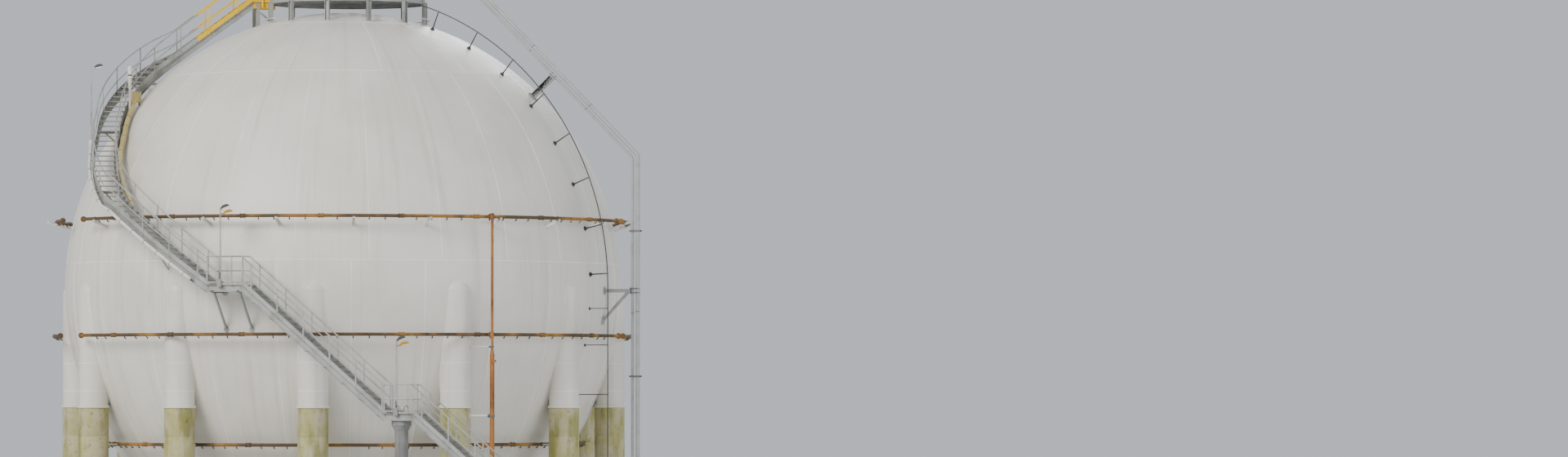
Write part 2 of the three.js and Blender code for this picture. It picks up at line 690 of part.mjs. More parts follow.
// a floodlight pole, with its lamps on short arms one above the other
function lampPole(foot, height, toward, lamps = 2) {
  const head = foot.clone().setZ(foot.z + height);
  const pieces = [rod(foot, head, 36, 6)];
  for (let i = 0; i < lamps; i++) {
    const at = head.clone().setZ(head.z - 60 - LAMP.spacing * i);
    const end = at.clone().addScaledVector(toward, 420);
    pieces.push(rod(at, end, 22, 4));
    pieces.push(beam(at.clone().addScaledVector(toward, 150), end.setZ(end.z + 60), 260, 130));
  }
  return pieces;
}

// the lamps of the stair point along it and towards the shell
const lit = tangent.along.clone().multiplyScalar(0.9).addScaledVector(tangent.out, -0.4);
const landings = [];
const flights = [];
let t = STAIR.midHalf;
let level = 0;
for (const risers of [24, 20, 19]) {
  flights.push(straightStations(t, level, risers));
  t += STAIR.going * risers;
  level -= STAIR.rise * risers;
  if (level > GROUND + STAIR.rise) landings.push([t, t + STAIR.landing, level]);
  t += STAIR.landing;
}

const spiral = spiralStations();
const half = Math.round(spiral.length / 2);
flights.forEach((stations, i) => add(`stair_flight_${3 - i}`, 'galvanised',
  join(flight(stations, STAIR.posts.straight)).trimByPlane([0, 0, 1], GROUND)));
landings.forEach(([from, to, z], i) => {
  const middle = (from + to) / 2;
  const lamps = i === 0
    ? lampPole(straightAt(middle - 40, STAIR.width - RAIL.pipe, z - 100), 2710, lit) : [];
  add(`stair_landing_${2 - i}`, 'galvanised',
    ...landing(straightCorners(from + GAP, to - GAP), z), ...lamps);
  add(`stair_pedestal_${2 - i}`, 'concrete', pedestal(middle, z));
});

// brackets from the shell out under the stair, with a slanting strut below
function bracket(inner, outer, z, drop, size = 90) {
  const inward = inner.clone().sub(outer).setZ(0).normalize();
  const root = inner.clone().addScaledVector(inward, 900);
  const foot = outer.clone().addScaledVector(inward, outer.distanceTo(inner) * 0.25);
  const strutRoot = root.clone().setZ(z - drop * 1.35);
  return [
    offShell(beam(root.clone().setZ(z), outer.clone().setZ(z), size, size)),
    offShell(beam(strutRoot, foot.clone().setZ(z), size * 0.8, size * 0.8)),
  ];
}

// middle landing, where the winding flight starts
const start = spiral[0];
const midCorners = [start.inner, start.outer, straightAt(STAIR.midHalf - GAP, STAIR.width, 0),
  straightAt(STAIR.midHalf - GAP, 0, 0)];
const under = 25 - STAIR.low;
const midBrackets = [-500, 535].flatMap((at) =>
  bracket(straightAt(at, 0, 0), straightAt(at, STAIR.width - 10, 0), under, 1300));
add('stair_landing_3', 'galvanised', ...landing(midCorners, 0, [[0.09, 0.79], [0.03, 0.73]]),
  ...midBrackets, ...lampPole(straightAt(-160, STAIR.width - RAIL.pipe, -100), 2980, lit));

const spiralBrackets = (list) => list.flatMap((i) => {
  const s = spiral[i];
  const z = s.z + under;
  const radial = s.outer.clone().setZ(0).normalize();
  const reach = s.outer.clone().setZ(0).length();
  const shell = Math.sqrt(SPHERE.radius ** 2 - z ** 2);
  return bracket(radial.clone().multiplyScalar(shell), radial.clone().multiplyScalar(reach), z,
    reach - shell);
});

const shrunk = (stations) => {
  // the ends stand a hair clear of the next piece
  const list = stations.map((s) => ({ ...s }));
  const [a, b] = list;
  const share = GAP / a.inner.distanceTo(b.inner);
  list[0] = { ...a, inner: mix(a.inner, b.inner, share), outer: mix(a.outer, b.outer, share) };
  return list;
};

// a lamp on its own pole outside the winding flight
function outerLamp() {
  const s = spiral[LAMP.station];
  const at = (inset, lift) => edgeOf(s, 1, inset).setZ(s.z + lift);
  const arm = (lift) => beam(at(20, lift), at(-LAMP.out, lift), 60, 60);
  return [...lampPole(at(-LAMP.out, -350), 2960, V(1, 0, 0), 1), arm(-60), arm(130)];
}

// one half of a round cable duct, with the clips that hold it to the stringer; its sections
// stand upright, and so they are taller than wide
function duct({ side, radius, places, clips }, part) {
  const run = loft(places[part].map(([place, inset, lift]) => {
    const s = stationAt(spiral, place);
    const middle = edgeOf(s, side, inset);
    const across = s.outer.clone().sub(s.inner).normalize();
    return Array.from({ length: 6 }, (_, k) => {
      const turn = (Math.PI * k) / 3;
      return middle.clone().addScaledVector(across, radius * Math.cos(turn))
        .setZ(s.z + lift + 1.24 * radius * Math.sin(turn));
    });
  }));
  const held = clips[part].map((station) => {
    const s = spiral[station];
    const [, inset, lift] = places[part][1];
    return beam(edgeOf(s, side, 20).setZ(s.z + lift), edgeOf(s, side, inset).setZ(s.z + lift), 50, 50);
  });
  return [run, ...held];
}

// the box that the inner duct ends in
function junctionBox() {
  const { from, to, inset: [near, far], low, high } = JUNCTION_BOX;
  const [a, b] = [spiral[from], spiral[to]];
  const corners = [edgeOf(a, 0, near), edgeOf(a, 0, far), edgeOf(b, 0, far), edgeOf(b, 0, near)];
  return slab(corners, a.z + low, a.z + high);
}

// an upright housing on a post at the inner edge
function beacon() {
  const s = spiral[BEACON.station];
  const at = (lift) => edgeOf(s, 0, BEACON.inset).setZ(s.z + lift);
  return [rod(at(-120), at(BEACON.low), BEACON.post, 8),
    rod(at(BEACON.low), at(BEACON.high), BEACON.head, 8),
    beam(edgeOf(s, 0, 20).setZ(s.z - 60), at(-60), 60, 60)];
}

add('spiral_flight_lower', 'galvanised',
  ...flight(shrunk(spiral.slice(0, half)), STAIR.posts.lower), ...spiralBrackets([9, 19]),
  ...duct(INNER_DUCT, 0), ...duct(OUTER_DUCT, 0));
add('spiral_flight_upper', 'galvanised',
  ...flight(shrunk(spiral.slice(half - 1)), STAIR.posts.upper), ...spiralBrackets([31, 41]),
  ...outerLamp(), ...beacon(), ...duct(INNER_DUCT, 1), ...duct(OUTER_DUCT, 1), junctionBox());

// Top platform. Points on it are given from the middle of the deck, and lifts from its top

const onDeck = (x, y, lift) => V(DECK.x + x, y, DECK.top + lift);
const deckPolar = (azimuth, radius, lift) => polar(azimuth, radius, DECK.top + lift).setX(
  DECK.x + radius * Math.sin(rad(azimuth)));
const deckDisc = (radius, low, high) =>
  turned([[0, low], [radius, low], [radius, high], [0, high]], DECK.sides, onDeck(0, 0, -DECK.top));

add('platform_deck', 'galvanised', deckDisc(DECK.radius, DECK.top - DECK.plate, DECK.top));

// an upright square post whose faces look out from the middle of the deck
function deckPost(azimuth, radius, half, low, high) {
  const geometry = new THREE.BoxGeometry(half * 2, half * 2, high - low);
  const at = deckPolar(azimuth, radius, (low + high) / 2 - DECK.top);
  return solid(geometry.rotateZ(rad(azimuth)).translate(at.x, at.y, at.z));
}

function platformFrame() {
  const { radius, beamWidth, top, plate, beam: depth, legs } = DECK;
  const [low, high] = [top - depth, top - plate - GAP];
  const inner = radius - beamWidth;
  const ring = turned([[inner, low], [radius, low], [radius, high], [inner, high], [inner, low]],
    DECK.sides, onDeck(0, 0, -top));
  const posts = legs.azimuths.map((azimuth) =>
    offShell(deckPost(azimuth, legs.circle, legs.half, top - 1600, legs.head)));
  return [ring, ...posts];
}

add('platform_frame', 'galvanised', ...platformFrame());

function platformRail() {
  const { rail, railPosts } = DECK;
  const { pipe, height, postWidth, postDepth } = RAIL;
  const { from, to } = rail;
  const count = Math.round((to - from) / rail.step);
  const bar = (lift) => loft(Array.from({ length: count + 1 }, (_, i) => {
    const azimuth = from + ((to - from) * i) / count;
    return [[-pipe, -pipe], [pipe, -pipe], [pipe, pipe], [-pipe, pipe]].map(([out, up]) =>
      deckPolar(azimuth, rail.radius + out, lift + up));
  }));
  const posts = railPosts.map((azimuth) => {
    const [side, out] = [postDepth, postWidth];
    const at = (lift) => [[-side, -out], [side, -out], [side, out], [-side, out]].map(([along, away]) =>
      deckPolar(azimuth, rail.radius + away - 8, lift).add(polar(azimuth + 90, along, 0)));
    return loft([at(GAP), at(height)]);
  });
  return [bar(height), bar(height / 2), ...posts];
}

add('platform_rail', 'galvanised', ...platformRail());

// the level piece between the winding flight and the deck, on two posts of its own
function stairHead() {
  const last = spiral[spiral.length - 1];
  const ahead = (p, distance) => p.clone().addScaledVector(last.along, distance);
  const corners = [ahead(last.inner, GAP), ahead(last.outer, GAP),
    ahead(last.outer, 1300), ahead(last.inner, 1300)];
  const floor = landing(corners, DECK.top, [[0.08, 0.4], [0.08, 0.68]]);
  const posts = [0, 1].map((side) => {
    const at = ahead(edgeOf(last, side, 86), 190);
    const plan = [[1, 1], [-1, 1], [-1, -1], [1, -1]].map(([x, y]) => V(at.x + 70 * x, at.y + 70 * y, 0));
    return offShell(slab(plan, DECK.top - 1900, DECK.top - STAIR.tread));
  });
  const pole = lampPole(ahead(last.inner, 370).setZ(DECK.top - 200), 2900, V(0.9, -0.4, 0), 1);
  const clear = deckDisc(DECK.radius + GAP, DECK.top - 600, DECK.top + 1600);
  return [join([...floor, ...posts]).subtract(clear), ...pole];
}

add('stair_head', 'yellow', ...stairHead());

// a flat roof over the valves, whose right-hand end slopes outwards
function valveCanopy() {
  const { low, high, eaves, half, underside, thickness, posts, post: size, thinPost } = CANOPY;
  const outline = [[low, 0], [high, 0], [high + eaves, thickness], [low, thickness]];
  const roof = loft([-half, half].map((y) => outline.map(([x, lift]) => onDeck(x, y, underside + lift))));
  const upright = ([x, y], reach) => {
    const plan = [[1, 1], [-1, 1], [-1, -1], [1, -1]];
    return slab(plan.map(([a, b]) => onDeck(x + a * reach, y + b * reach, 0)),
      DECK.top + GAP, DECK.top + underside + 40);
  };
  return [roof, ...posts.map((at) => upright(at, size)), upright(thinPost, 30)];
}

add('valve_canopy', 'pipe', ...valveCanopy());

// the valves, which feed the relief and vent pipes
function valveManifold() {
  const low = RELIEF.top + RELIEF.apart - DECK.top;
  const run = 900;
  const y = -200;
  const onPlane = (r, lift) => reliefAt(r, DECK.top + lift);
  const header = onPlane(548, low);
  const disc = (at, axis, radius, thickness) => {
    const half = axis.clone().multiplyScalar(thickness / 2);
    return rod(at.clone().sub(half), at.clone().add(half), radius, 12);
  };
  const [X, Y] = [V(1, 0, 0), V(0, 1, 0)];
  const elbow = 1801;
  const vent = RELIEF.top - DECK.top;
  return [
    // the low run, from its turned-down end to where the relief pipe starts
    rod(onDeck(-1600, y, low), header, 80, 8),
    rod(onDeck(-1560, y, low), onDeck(-1560, y, GAP), 80, 8),
    rod(header, onPlane(RELIEF.start - GAP, low), RELIEF.pipe, 8),
    disc(onPlane(RELIEF.start - 60, low), polar(RELIEF.azimuth, 1, 0), 130, 44),
    // a valve with its wheel at the side
    rod(onDeck(-800, y, low), onDeck(-800, y, run), 60, 8),
    rod(onDeck(-800, y, 450), onDeck(-800, y, 700), 170, 8),
    rod(onDeck(-800, y, run - 40), onDeck(-1110, y, run - 40), 25, 4),
    disc(onDeck(-1110, y, run - 40), X, 160, 30),
    // the upper run, with a wheel on top, a pair of flanges and a blind flange on the near side
    rod(onDeck(-420, y, run), onDeck(1100, y, run), 95, 8),
    disc(onDeck(-250, y, run), X, 185, 40),
    disc(onDeck(20, y, run), X, 185, 40),
    disc(onDeck(1100, y, run), X, 185, 50),
    rod(onDeck(820, y, run), onDeck(820, y - 250, run), 90, 8),
    disc(onDeck(820, y - 250, run), Y, 185, 50),
    rod(onDeck(-110, y, low), onDeck(-110, y, 1270), 70, 8),
    disc(onDeck(-110, y, 1270), UP, 185, 30),
    // the tall valve, and the relief valve whose pipe comes down to the vent
    rod(onDeck(317, y, low), onDeck(317, y, 1200), 50, 8),
    rod(onDeck(317, y, 1200), onDeck(317, y, 1500), 130, 8),
    rod(onPlane(elbow, vent), onPlane(elbow, 1350), 65, 8),
    rod(onPlane(elbow, 1200), onPlane(elbow, 1450), 125, 8),
    rod(onPlane(elbow, vent), onPlane(RELIEF.start - GAP, vent), RELIEF.vent, 8),
    // actuator boxes, and feet on the deck
    box(onDeck(130, y - 180, GAP), onDeck(350, y + 100, 450)),
    box(onDeck(620, y - 180, GAP), onDeck(860, y + 100, 450)),
    box(onDeck(-1250, y - 60, GAP), onDeck(-1150, y + 60, low)),
  ];
}

add('valve_manifold', 'pipe', ...valveManifold());

// Bottom outlet

add('bottom_nozzle', 'pipe', offShell(turned([
  [0, -SPHERE.radius + 400], [300, -SPHERE.radius + 400], [300, -SPHERE.radius - 260],
  [390, -SPHERE.radius - 260], [390, -SPHERE.radius - 360], [0, -SPHERE.radius - 360],
], 12)));

const footprint = new THREE.Box3().setFromObject(model);
model.position.set(
  -(footprint.min.x + footprint.max.x) / 2, -(footprint.min.y + footprint.max.y) / 2, -footprint.min.z);

export default model;
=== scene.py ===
"""Spherical gas tank. Every point is given in metres from the middle of the sphere,
and azimuth 0 is the near side, growing towards +X."""
import math
import bmesh
import bpy
import numpy as np
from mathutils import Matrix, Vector, noise


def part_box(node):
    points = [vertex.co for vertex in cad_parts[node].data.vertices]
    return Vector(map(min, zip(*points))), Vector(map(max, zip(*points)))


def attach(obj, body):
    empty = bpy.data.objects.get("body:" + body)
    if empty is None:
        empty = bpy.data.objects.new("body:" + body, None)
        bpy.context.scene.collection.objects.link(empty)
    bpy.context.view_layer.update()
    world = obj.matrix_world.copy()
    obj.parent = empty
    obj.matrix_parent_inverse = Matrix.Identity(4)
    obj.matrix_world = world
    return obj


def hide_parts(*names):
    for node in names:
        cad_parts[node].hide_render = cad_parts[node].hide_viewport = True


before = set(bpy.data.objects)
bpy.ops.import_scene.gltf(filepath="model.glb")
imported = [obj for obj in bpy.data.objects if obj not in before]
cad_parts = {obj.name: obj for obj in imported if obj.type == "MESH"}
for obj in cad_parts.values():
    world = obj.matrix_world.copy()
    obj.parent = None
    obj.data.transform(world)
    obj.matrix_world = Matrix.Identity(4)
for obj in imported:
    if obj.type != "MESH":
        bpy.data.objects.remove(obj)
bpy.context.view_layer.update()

RADIUS = 10.8
PLATE = 0.045
GROUND = -12.6
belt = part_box("shell_belt_course")
CENTRE = Vector(((belt[0][0] + belt[1][0]) / 2, (belt[0][1] + belt[1][1]) / 2,
                 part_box("shell_top_crown")[1][2] - RADIUS))
UP = Vector((0, 0, 1))
SEAM_BELT, SEAM_CROWN = 4.93, 49.6
DECK_TOP, DECK_X, DECK_RADIUS = 11.25, 0.16, 3.04


def polar(azimuth, radius, z=0.0):
    turn = math.radians(azimuth)
    return Vector((radius * math.sin(turn), -radius * math.cos(turn), z))


def on_ball(azimuth, latitude, radius=RADIUS):
    tilt = math.radians(latitude)
    return polar(azimuth, radius * math.cos(tilt), radius * math.sin(tilt))


def on_deck(x, y, lift):
    return Vector((DECK_X + x, y, DECK_TOP + lift))


def deck_polar(azimuth, radius, lift):
    return polar(azimuth, radius) + on_deck(0, 0, lift)


def steps(start, end, count):
    return [start + (end - start) * i / count for i in range(count + 1)]


def full_turn(count, whole=2 * math.pi):
    """Equal steps of one whole turn, without its end."""
    return steps(0, whole, count)[:-1]


def around(one, two, turn):
    """The unit vector at a turn from one axis towards another."""
    return one * math.cos(turn) + two * math.sin(turn)


def shell_radius(z):
    """The shell's radius in plan at a height."""
    return math.sqrt(RADIUS ** 2 - z * z)


def on_crown(at, sink):
    """The place on the shell's top under a point, sunk into it a little."""
    return Vector((at.x, at.y, shell_radius(math.hypot(at.x, at.y)) - sink))


def basis(axis):
    """Two unit vectors square to an axis."""
    side = axis.cross(UP)
    if side.length < 1e-4:
        side = Vector((1, 0, 0))
    side.normalize()
    return side, side.cross(axis).normalized()


# Shapes


class Shape:
    """Simple solids gathered into one mesh."""

    def __init__(self):
        self.points, self.faces, self.slots = [], [], []

    def skin(self, rings, slot=0, closed=False):
        """A solid over rings of equally many points."""
        start, count, number = len(self.points), len(rings[0]), len(rings)
        for ring in rings:
            self.points += ring
        for k in range(number if closed else number - 1):
            a, b = start + k * count, start + (k + 1) % number * count
            for i in range(count):
                j = (i + 1) % count
                self.faces.append((a + i, a + j, b + j, b + i))
        if not closed:
            self.faces.append(tuple(range(start + count - 1, start - 1, -1)))
            self.faces.append(tuple(range(start + (number - 1) * count, start + number * count)))
        self.slots += [slot] * (len(self.faces) - len(self.slots))

    def tube(self, path, radius, sides=10, slot=0, closed=False):
        """A round tube along points, with one radius or one for each point."""
        number = len(path)
        radii = radius if isinstance(radius, list) else [radius] * number
        rings, side = [], None
        for i, p in enumerate(path):
            before = p - path[i - 1] if i or closed else None
            after = path[(i + 1) % number] - p if i + 1 < number or closed else None
            ways = [w.normalized() for w in (before, after) if w is not None]
            along = sum(ways, Vector()).normalized()
            stretch = 1 / max(along.dot(ways[0]), 0.5)
            side = basis(along)[0] if side is None else (side - along * side.dot(along)).normalized()
            up = along.cross(side)
            bend = ways[-1] - ways[0]
            bend = bend.normalized() if bend.length > 1e-5 else None
            ring = []
            for turn in full_turn(sides):
                out = around(side, up, turn) * radii[i]
                if bend is not None:
                    out += bend * out.dot(bend) * (stretch - 1)
                ring.append(p + out)
            rings.append(ring)
        self.skin(rings, slot, closed)

    def rod(self, a, b, radius, sides=10, slot=0):
        self.tube([a, b], radius, sides, slot)

    def turned(self, profile, at, axis=UP, sides=24, slot=0):
        """A solid of revolution: profile is (radius, distance along the axis)."""
        side, up = basis(axis)
        ways = [around(side, up, turn) for turn in full_turn(sides)]
        self.skin([[at + axis * z + way * r for way in ways] for r, z in profile], slot)

    def disc(self, at, axis, radius, thickness, sides=24, slot=0):
        """A round plate with eased edges."""
        edge, half = min(0.006, thickness / 4), thickness / 2
        self.turned([(radius - edge, -half), (radius, edge - half), (radius, half - edge),
                     (radius - edge, half)], at, axis, sides, slot)

    def sleeve(self, at, axis, radius, half, sides=8, slot=1):
        """A short round piece with its middle at a point."""
        self.turned([(radius, -half), (radius, half)], at, axis, sides, slot)

    def weld(self, at, axis, radius, rise=0.006):
        """A weld bead round a pipe."""
        self.turned([(radius, -0.012), (radius + rise, 0), (radius, 0.012)], at, axis, 20, 1)

    def strap(self, centre, one, two, circle, radius, start=0.0, end=2 * math.pi, count=12):
        """A rod bent round a pipe, from one turn to another."""
        self.tube([centre + around(one, two, t) * circle for t in steps(start, end, count)], radius, 6, 1)

    def bar(self, a, b, width, depth, slot=0, up=UP):
        """A flat bar from a to b: width level, depth along up."""
        along = (b - a).normalized()
        side = along.cross(up)
        if side.length < 1e-4:
            side = Vector((1, 0, 0))
        side = side.normalized() * width / 2
        lift = side.cross(along).normalized() * depth / 2
        self.skin([[p + side + lift, p - side + lift, p - side - lift, p + side - lift]
                   for p in (a, b)], slot)

    def i_beam(self, a, b, width, depth, thickness, up):
        """An I-section, its flanges spread along up."""
        for way in (-1, 1):
            lift = up * way * depth / 2
            self.bar(a + lift, b + lift, width, thickness, 0, up)
        self.bar(a, b, 0.012, depth, 0, up)

    def slab(self, corners, low, high, slot=0):
        self.skin([[Vector((p.x, p.y, z)) for p in corners] for z in (low, high)], slot)

    def section(self, stations, outline, slot=0):
        """An outline swept along stations, which give a point and its two axes."""
        self.skin([[at + across * x + up * y for x, y in outline] for at, across, up in stations], slot)

    def bolts(self, at, axis, circle, count, size, slot=0):
        """Bolt heads on a circle."""
        side, up = basis(axis)
        profile = [(size, -size * 0.8), (size, size * 0.5), (size * 0.8, size * 0.8)]
        for k in range(count):
            way = around(side, up, 2 * math.pi * (k + 0.5) / count)
            self.turned(profile, at + way * circle, axis, 6, slot)

    def flange(self, at, axis, radius, thickness, bolts=8, slot=0):
        """A pair of flanges face to face, with bolts through them."""
        gap = 0.006
        for way in (-1, 1):
            self.disc(at + axis * way * (thickness + gap) / 2, axis, radius, thickness, 24, slot)
            face = at + axis * way * (thickness + gap)
            self.bolts(face, axis * way, radius * 0.78, bolts, radius * 0.09, 1)
        self.disc(at, axis, radius * 0.6, gap * 2, 16, slot)

    def wheel(self, at, axis, radius, slot=0):
        """A handwheel with four spokes."""
        side, up = basis(axis)
        self.tube([at + around(side, up, t) * radius for t in full_turn(24)], radius * 0.08, 8, slot, True)
        self.sleeve(at, axis, radius * 0.2, radius * 0.18, 10, slot)
        for turn in full_turn(4):
            self.rod(at, at + around(side, up, turn) * radius, radius * 0.06, 6, slot)

    def floodlight(self, at, aim, slot=0, glass=0, size=1.0):
        """A flat lamp: housing with cooling fins on its back, glass on its face and a yoke."""
        side = aim.cross(UP).normalized()
        up = side.cross(aim).normalized()

        def frame_at(lift, width, depth):
            return [at + (side * x * width + aim * y * depth + up * lift) * size
                    for x, y in ((1, 1), (-1, 1), (-1, -1), (1, -1))]

        housing = [(-0.05, 0.13, 0.14), (-0.045, 0.145, 0.155), (0, 0.145, 0.155), (0.03, 0.11, 0.12)]
        self.skin([frame_at(*row) for row in housing], slot)
        self.skin([frame_at(lift, 0.115, 0.125) for lift in (-0.056, -0.044)], glass)
        for k in range(-3, 4):
            fin = at + (side * 0.03 * k + up * 0.038) * size
            self.bar(fin - aim * 0.1 * size, fin + aim * 0.1 * size, 0.008 * size, 0.04 * size, slot, up)
        for way in (-1, 1):
            end = at + side * way * 0.15 * size
            self.bar(end, end - aim * 0.17 * size, 0.03, 0.008, slot, side)

    def make(self, name, materials, nodes=(), slot="galvanised", sharp=35):
        """The Blender object, which stands for the CAD nodes."""
        mesh = bpy.data.meshes.new(name)
        points = np.array([tuple(p) for p in self.points]) + np.array(tuple(CENTRE))
        mesh.from_pydata(points.tolist(), [], self.faces)
        for material in materials:
            mesh.materials.append(material)
        mesh.polygons.foreach_set("material_index", self.slots)
        work = bmesh.new()
        work.from_mesh(mesh)
        bmesh.ops.recalc_face_normals(work, faces=work.faces)
        work.to_mesh(mesh)
        work.free()
        mesh.shade_smooth()
        mesh.set_sharp_from_angle(angle=math.radians(sharp))
        piece = bpy.data.objects.new(name, mesh)
        bpy.context.scene.collection.objects.link(piece)
        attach(piece, "root")
        if nodes:
            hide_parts(*nodes)
        return piece


# Materials


def colour(code):
    parts = [int(code[i:i + 2], 16) / 255 for i in (1, 3, 5)]
    return [c / 12.92 if c <= 0.04045 else ((c + 0.055) / 1.055) ** 2.4 for c in parts] + [1.0]


class Look:
    """A procedural material, built up from noise in object space."""

    def __init__(self, name, base, roughness, metallic=0.0):
        self.material = bpy.data.materials.new(name)
        self.material.use_nodes = True
        self.tree = self.material.node_tree
        self.shader = self.tree.nodes["Principled BSDF"]
        self.shader.inputs["Roughness"].default_value = roughness
        self.shader.inputs["Metallic"].default_value = metallic
        self.material.diffuse_color = colour(base)
        self.tone = self.node("ShaderNodeRGB")
        self.tone.outputs[0].default_value = colour(base)
        self.tone = self.tone.outputs[0]
        self.place = self.node("ShaderNodeTexCoord").outputs["Object"]
        self.height = None

    def node(self, kind, **inputs):
        made = self.tree.nodes.new(kind)
        for key, value in inputs.items():
            self.put(made.inputs[key.replace("_", " ")], value)
        return made

    def put(self, socket, value):
        if isinstance(value, bpy.types.NodeSocket):
            self.tree.links.new(value, socket)
        else:
            socket.default_value = value

    def math(self, operation, a, b=0.0, clamp=False):
        made = self.tree.nodes.new("ShaderNodeMath")
        made.operation, made.use_clamp = operation, clamp
        self.put(made.inputs[0], a)
        self.put(made.inputs[1], b)
        return made.outputs[0]

    def vector(self, operation, a, b=(0, 0, 0)):
        made = self.tree.nodes.new("ShaderNodeVectorMath")
        made.operation = operation
        self.put(made.inputs[0], a)
        self.put(made.inputs[1], b)
        return made.outputs[0]

    def stretched(self, factors):
        return self.vector("MULTIPLY", self.place, factors)

    def streaks(self, fine, tall):
        """Coordinates whose noise runs down the shell as streaks do."""
        local = self.vector("SUBTRACT", self.place, tuple(CENTRE))
        parts = self.node("ShaderNodeSeparateXYZ", Vector=local)
        flat = self.node("ShaderNodeCombineXYZ", X=parts.outputs[0], Y=parts.outputs[1])
        around = self.vector("MULTIPLY", self.vector("NORMALIZE", flat.outputs[0]), (fine, fine, 0))
        drop = self.node("ShaderNodeCombineXYZ", Z=self.math("MULTIPLY", parts.outputs[2], tall))
        return self.vector("ADD", around, drop.outputs[0])

    def noise(self, scale, detail=4.0, roughness=0.55, where=None):
        made = self.node("ShaderNodeTexNoise", Vector=where or self.place, Scale=scale, Detail=detail,
                         Roughness=roughness)
        return made.outputs["Fac"]

    def band(self, value, low, high):
        """0 below low, 1 above high, and smooth between them."""
        made = self.node("ShaderNodeMapRange", Value=value, From_Min=low, From_Max=high)
        made.interpolation_type = "SMOOTHSTEP"
        return made.outputs[0]

    def height_band(self, low, high):
        """0 below a height from the sphere's middle, 1 above the next."""
        z = self.node("ShaderNodeSeparateXYZ", Vector=self.place).outputs[2]
        return self.band(z, CENTRE.z + low, CENTRE.z + high)

    def wash(self, factor, code, amount):
        """Another colour over what is there."""
        made = self.tree.nodes.new("ShaderNodeMix")
        made.data_type = "RGBA"
        self.put(made.inputs[0], self.math("MULTIPLY", factor, amount, clamp=True))
        self.put(made.inputs[6], self.tone)
        self.put(made.inputs[7], colour(code))
        self.tone = made.outputs[2]

    def patches(self, code, amount, low, high, scale, detail=4.0, roughness=0.55, where=None):
        """Another colour where noise rises through a band."""
        self.wash(self.band(self.noise(scale, detail, roughness, where), low, high), code, amount)

    def relief(self, value, amount):
        part = self.math("MULTIPLY", value, amount)
        self.height = part if self.height is None else self.math("ADD", self.height, part)

    def gloss(self, value, low, high):
        made = self.node("ShaderNodeMapRange", Value=value, To_Min=low, To_Max=high)
        self.tree.links.new(made.outputs[0], self.shader.inputs["Roughness"])

    def done(self, distance=0.01):
        self.tree.links.new(self.tone, self.shader.inputs["Base Color"])
        if self.height is not None:
            bump = self.node("ShaderNodeBump", Height=self.height, Strength=0.6, Distance=distance)
            self.tree.links.new(bump.outputs[0], self.shader.inputs["Normal"])
        return self.material


def shell_paint(name, base, dirt):
    look = Look(name, base, 0.42)
    down = look.streaks(26, 0.16)
    fine = look.streaks(90, 0.3)
    look.patches("#cbc6bb", 0.5, 0.38, 0.72, 0.35, 3)
    look.patches("#b3aa9a", dirt, 0.5, 0.74, 1.0, 5, where=down)
    look.patches("#a59c8b", dirt * 0.8, 0.56, 0.8, 1.0, 4, where=fine)
    look.patches("#9a8b74", dirt * 0.9, 0.66, 0.78, 2.6, 8, 0.7)
    look.gloss(look.noise(0.8, 6), 0.32, 0.55)
    look.relief(look.noise(0.7, 3), 1.0)
    look.relief(look.noise(60, 3), 0.05)
    return look.done(0.02)


def leg_base():
    look = Look("fireproofing", "#bab293", 0.85)
    look.patches("#a5a154", 0.65, 0.35, 0.65, 1.4, 6)
    look.patches("#7c7a30", 0.7, 0.46, 0.66, 1.0, 6, where=look.stretched((2.2, 2.2, 0.5)))
    look.patches("#4b4a1d", 0.6, 0.55, 0.7, 5, 8, 0.7)
    look.wash(look.math("SUBTRACT", 1.0, look.height_band(-12.4, -8.5)), "#8f8a78", 0.75)
    look.relief(look.noise(9, 8, 0.65), 1.0)
    return look.done(0.012)


def zinc(name, base, rust):
    look = Look(name, base, 0.5, 0.3)
    spangle = look.node("ShaderNodeTexVoronoi", Vector=look.place, Scale=38.0).outputs["Color"]
    grey = look.node("ShaderNodeSeparateColor", Color=spangle).outputs[0]
    look.wash(grey, "#b9bbb8", 0.25)
    look.patches("#6f6c64", 0.45, 0.42, 0.68, 1.6, 6)
    look.patches("#7a5a38", rust, 0.58, 0.7, 4.5, 8, 0.7)
    look.gloss(look.noise(9, 5), 0.38, 0.66)
    look.relief(look.noise(30, 5), 0.35)
    return look.done(0.003)


def paint(name, base, chip, amount=0.5, roughness=0.45, worn="#6d5b45"):
    look = Look(name, base, roughness)
    look.patches(chip, 0.45, 0.4, 0.7, 2.2, 5)
    look.patches(worn, amount, 0.62, 0.7, 11, 8, 0.7)
    look.gloss(look.noise(6, 5), roughness - 0.1, roughness + 0.15)
    look.relief(look.noise(25, 5), 0.3)
    return look.done(0.004)


def rusty_pipe(name, base, rust, amount):
    look = Look(name, base, 0.7)
    # patches of the second colour: rust on the risers; on the fire-water rings they are rust and painted
    # highlight together
    look.patches(rust, amount, 0.46, 0.64, 0.55, 6)
    look.patches("#332017", 0.6, 0.5, 0.68, 4, 8, 0.7)
    look.patches("#c98a45", 0.45, 0.6, 0.68, 14, 8, 0.75)
    look.gloss(look.noise(7, 5), 0.55, 0.9)
    look.relief(look.noise(22, 8, 0.7), 1.0)
    return look.done(0.004)


def concrete():
    look = Look("concrete", "#8b8b89", 0.9)
    look.patches("#6b6c6c", 0.6, 0.4, 0.66, 1.3, 6)
    look.patches("#56564f", 0.55, 0.5, 0.7, 1, 5, where=look.stretched((6, 6, 0.4)))
    look.patches("#4b4b49", 0.5, 0.6, 0.7, 28, 6)
    look.relief(look.noise(35, 8, 0.7), 1.0)
    return look.done(0.006)


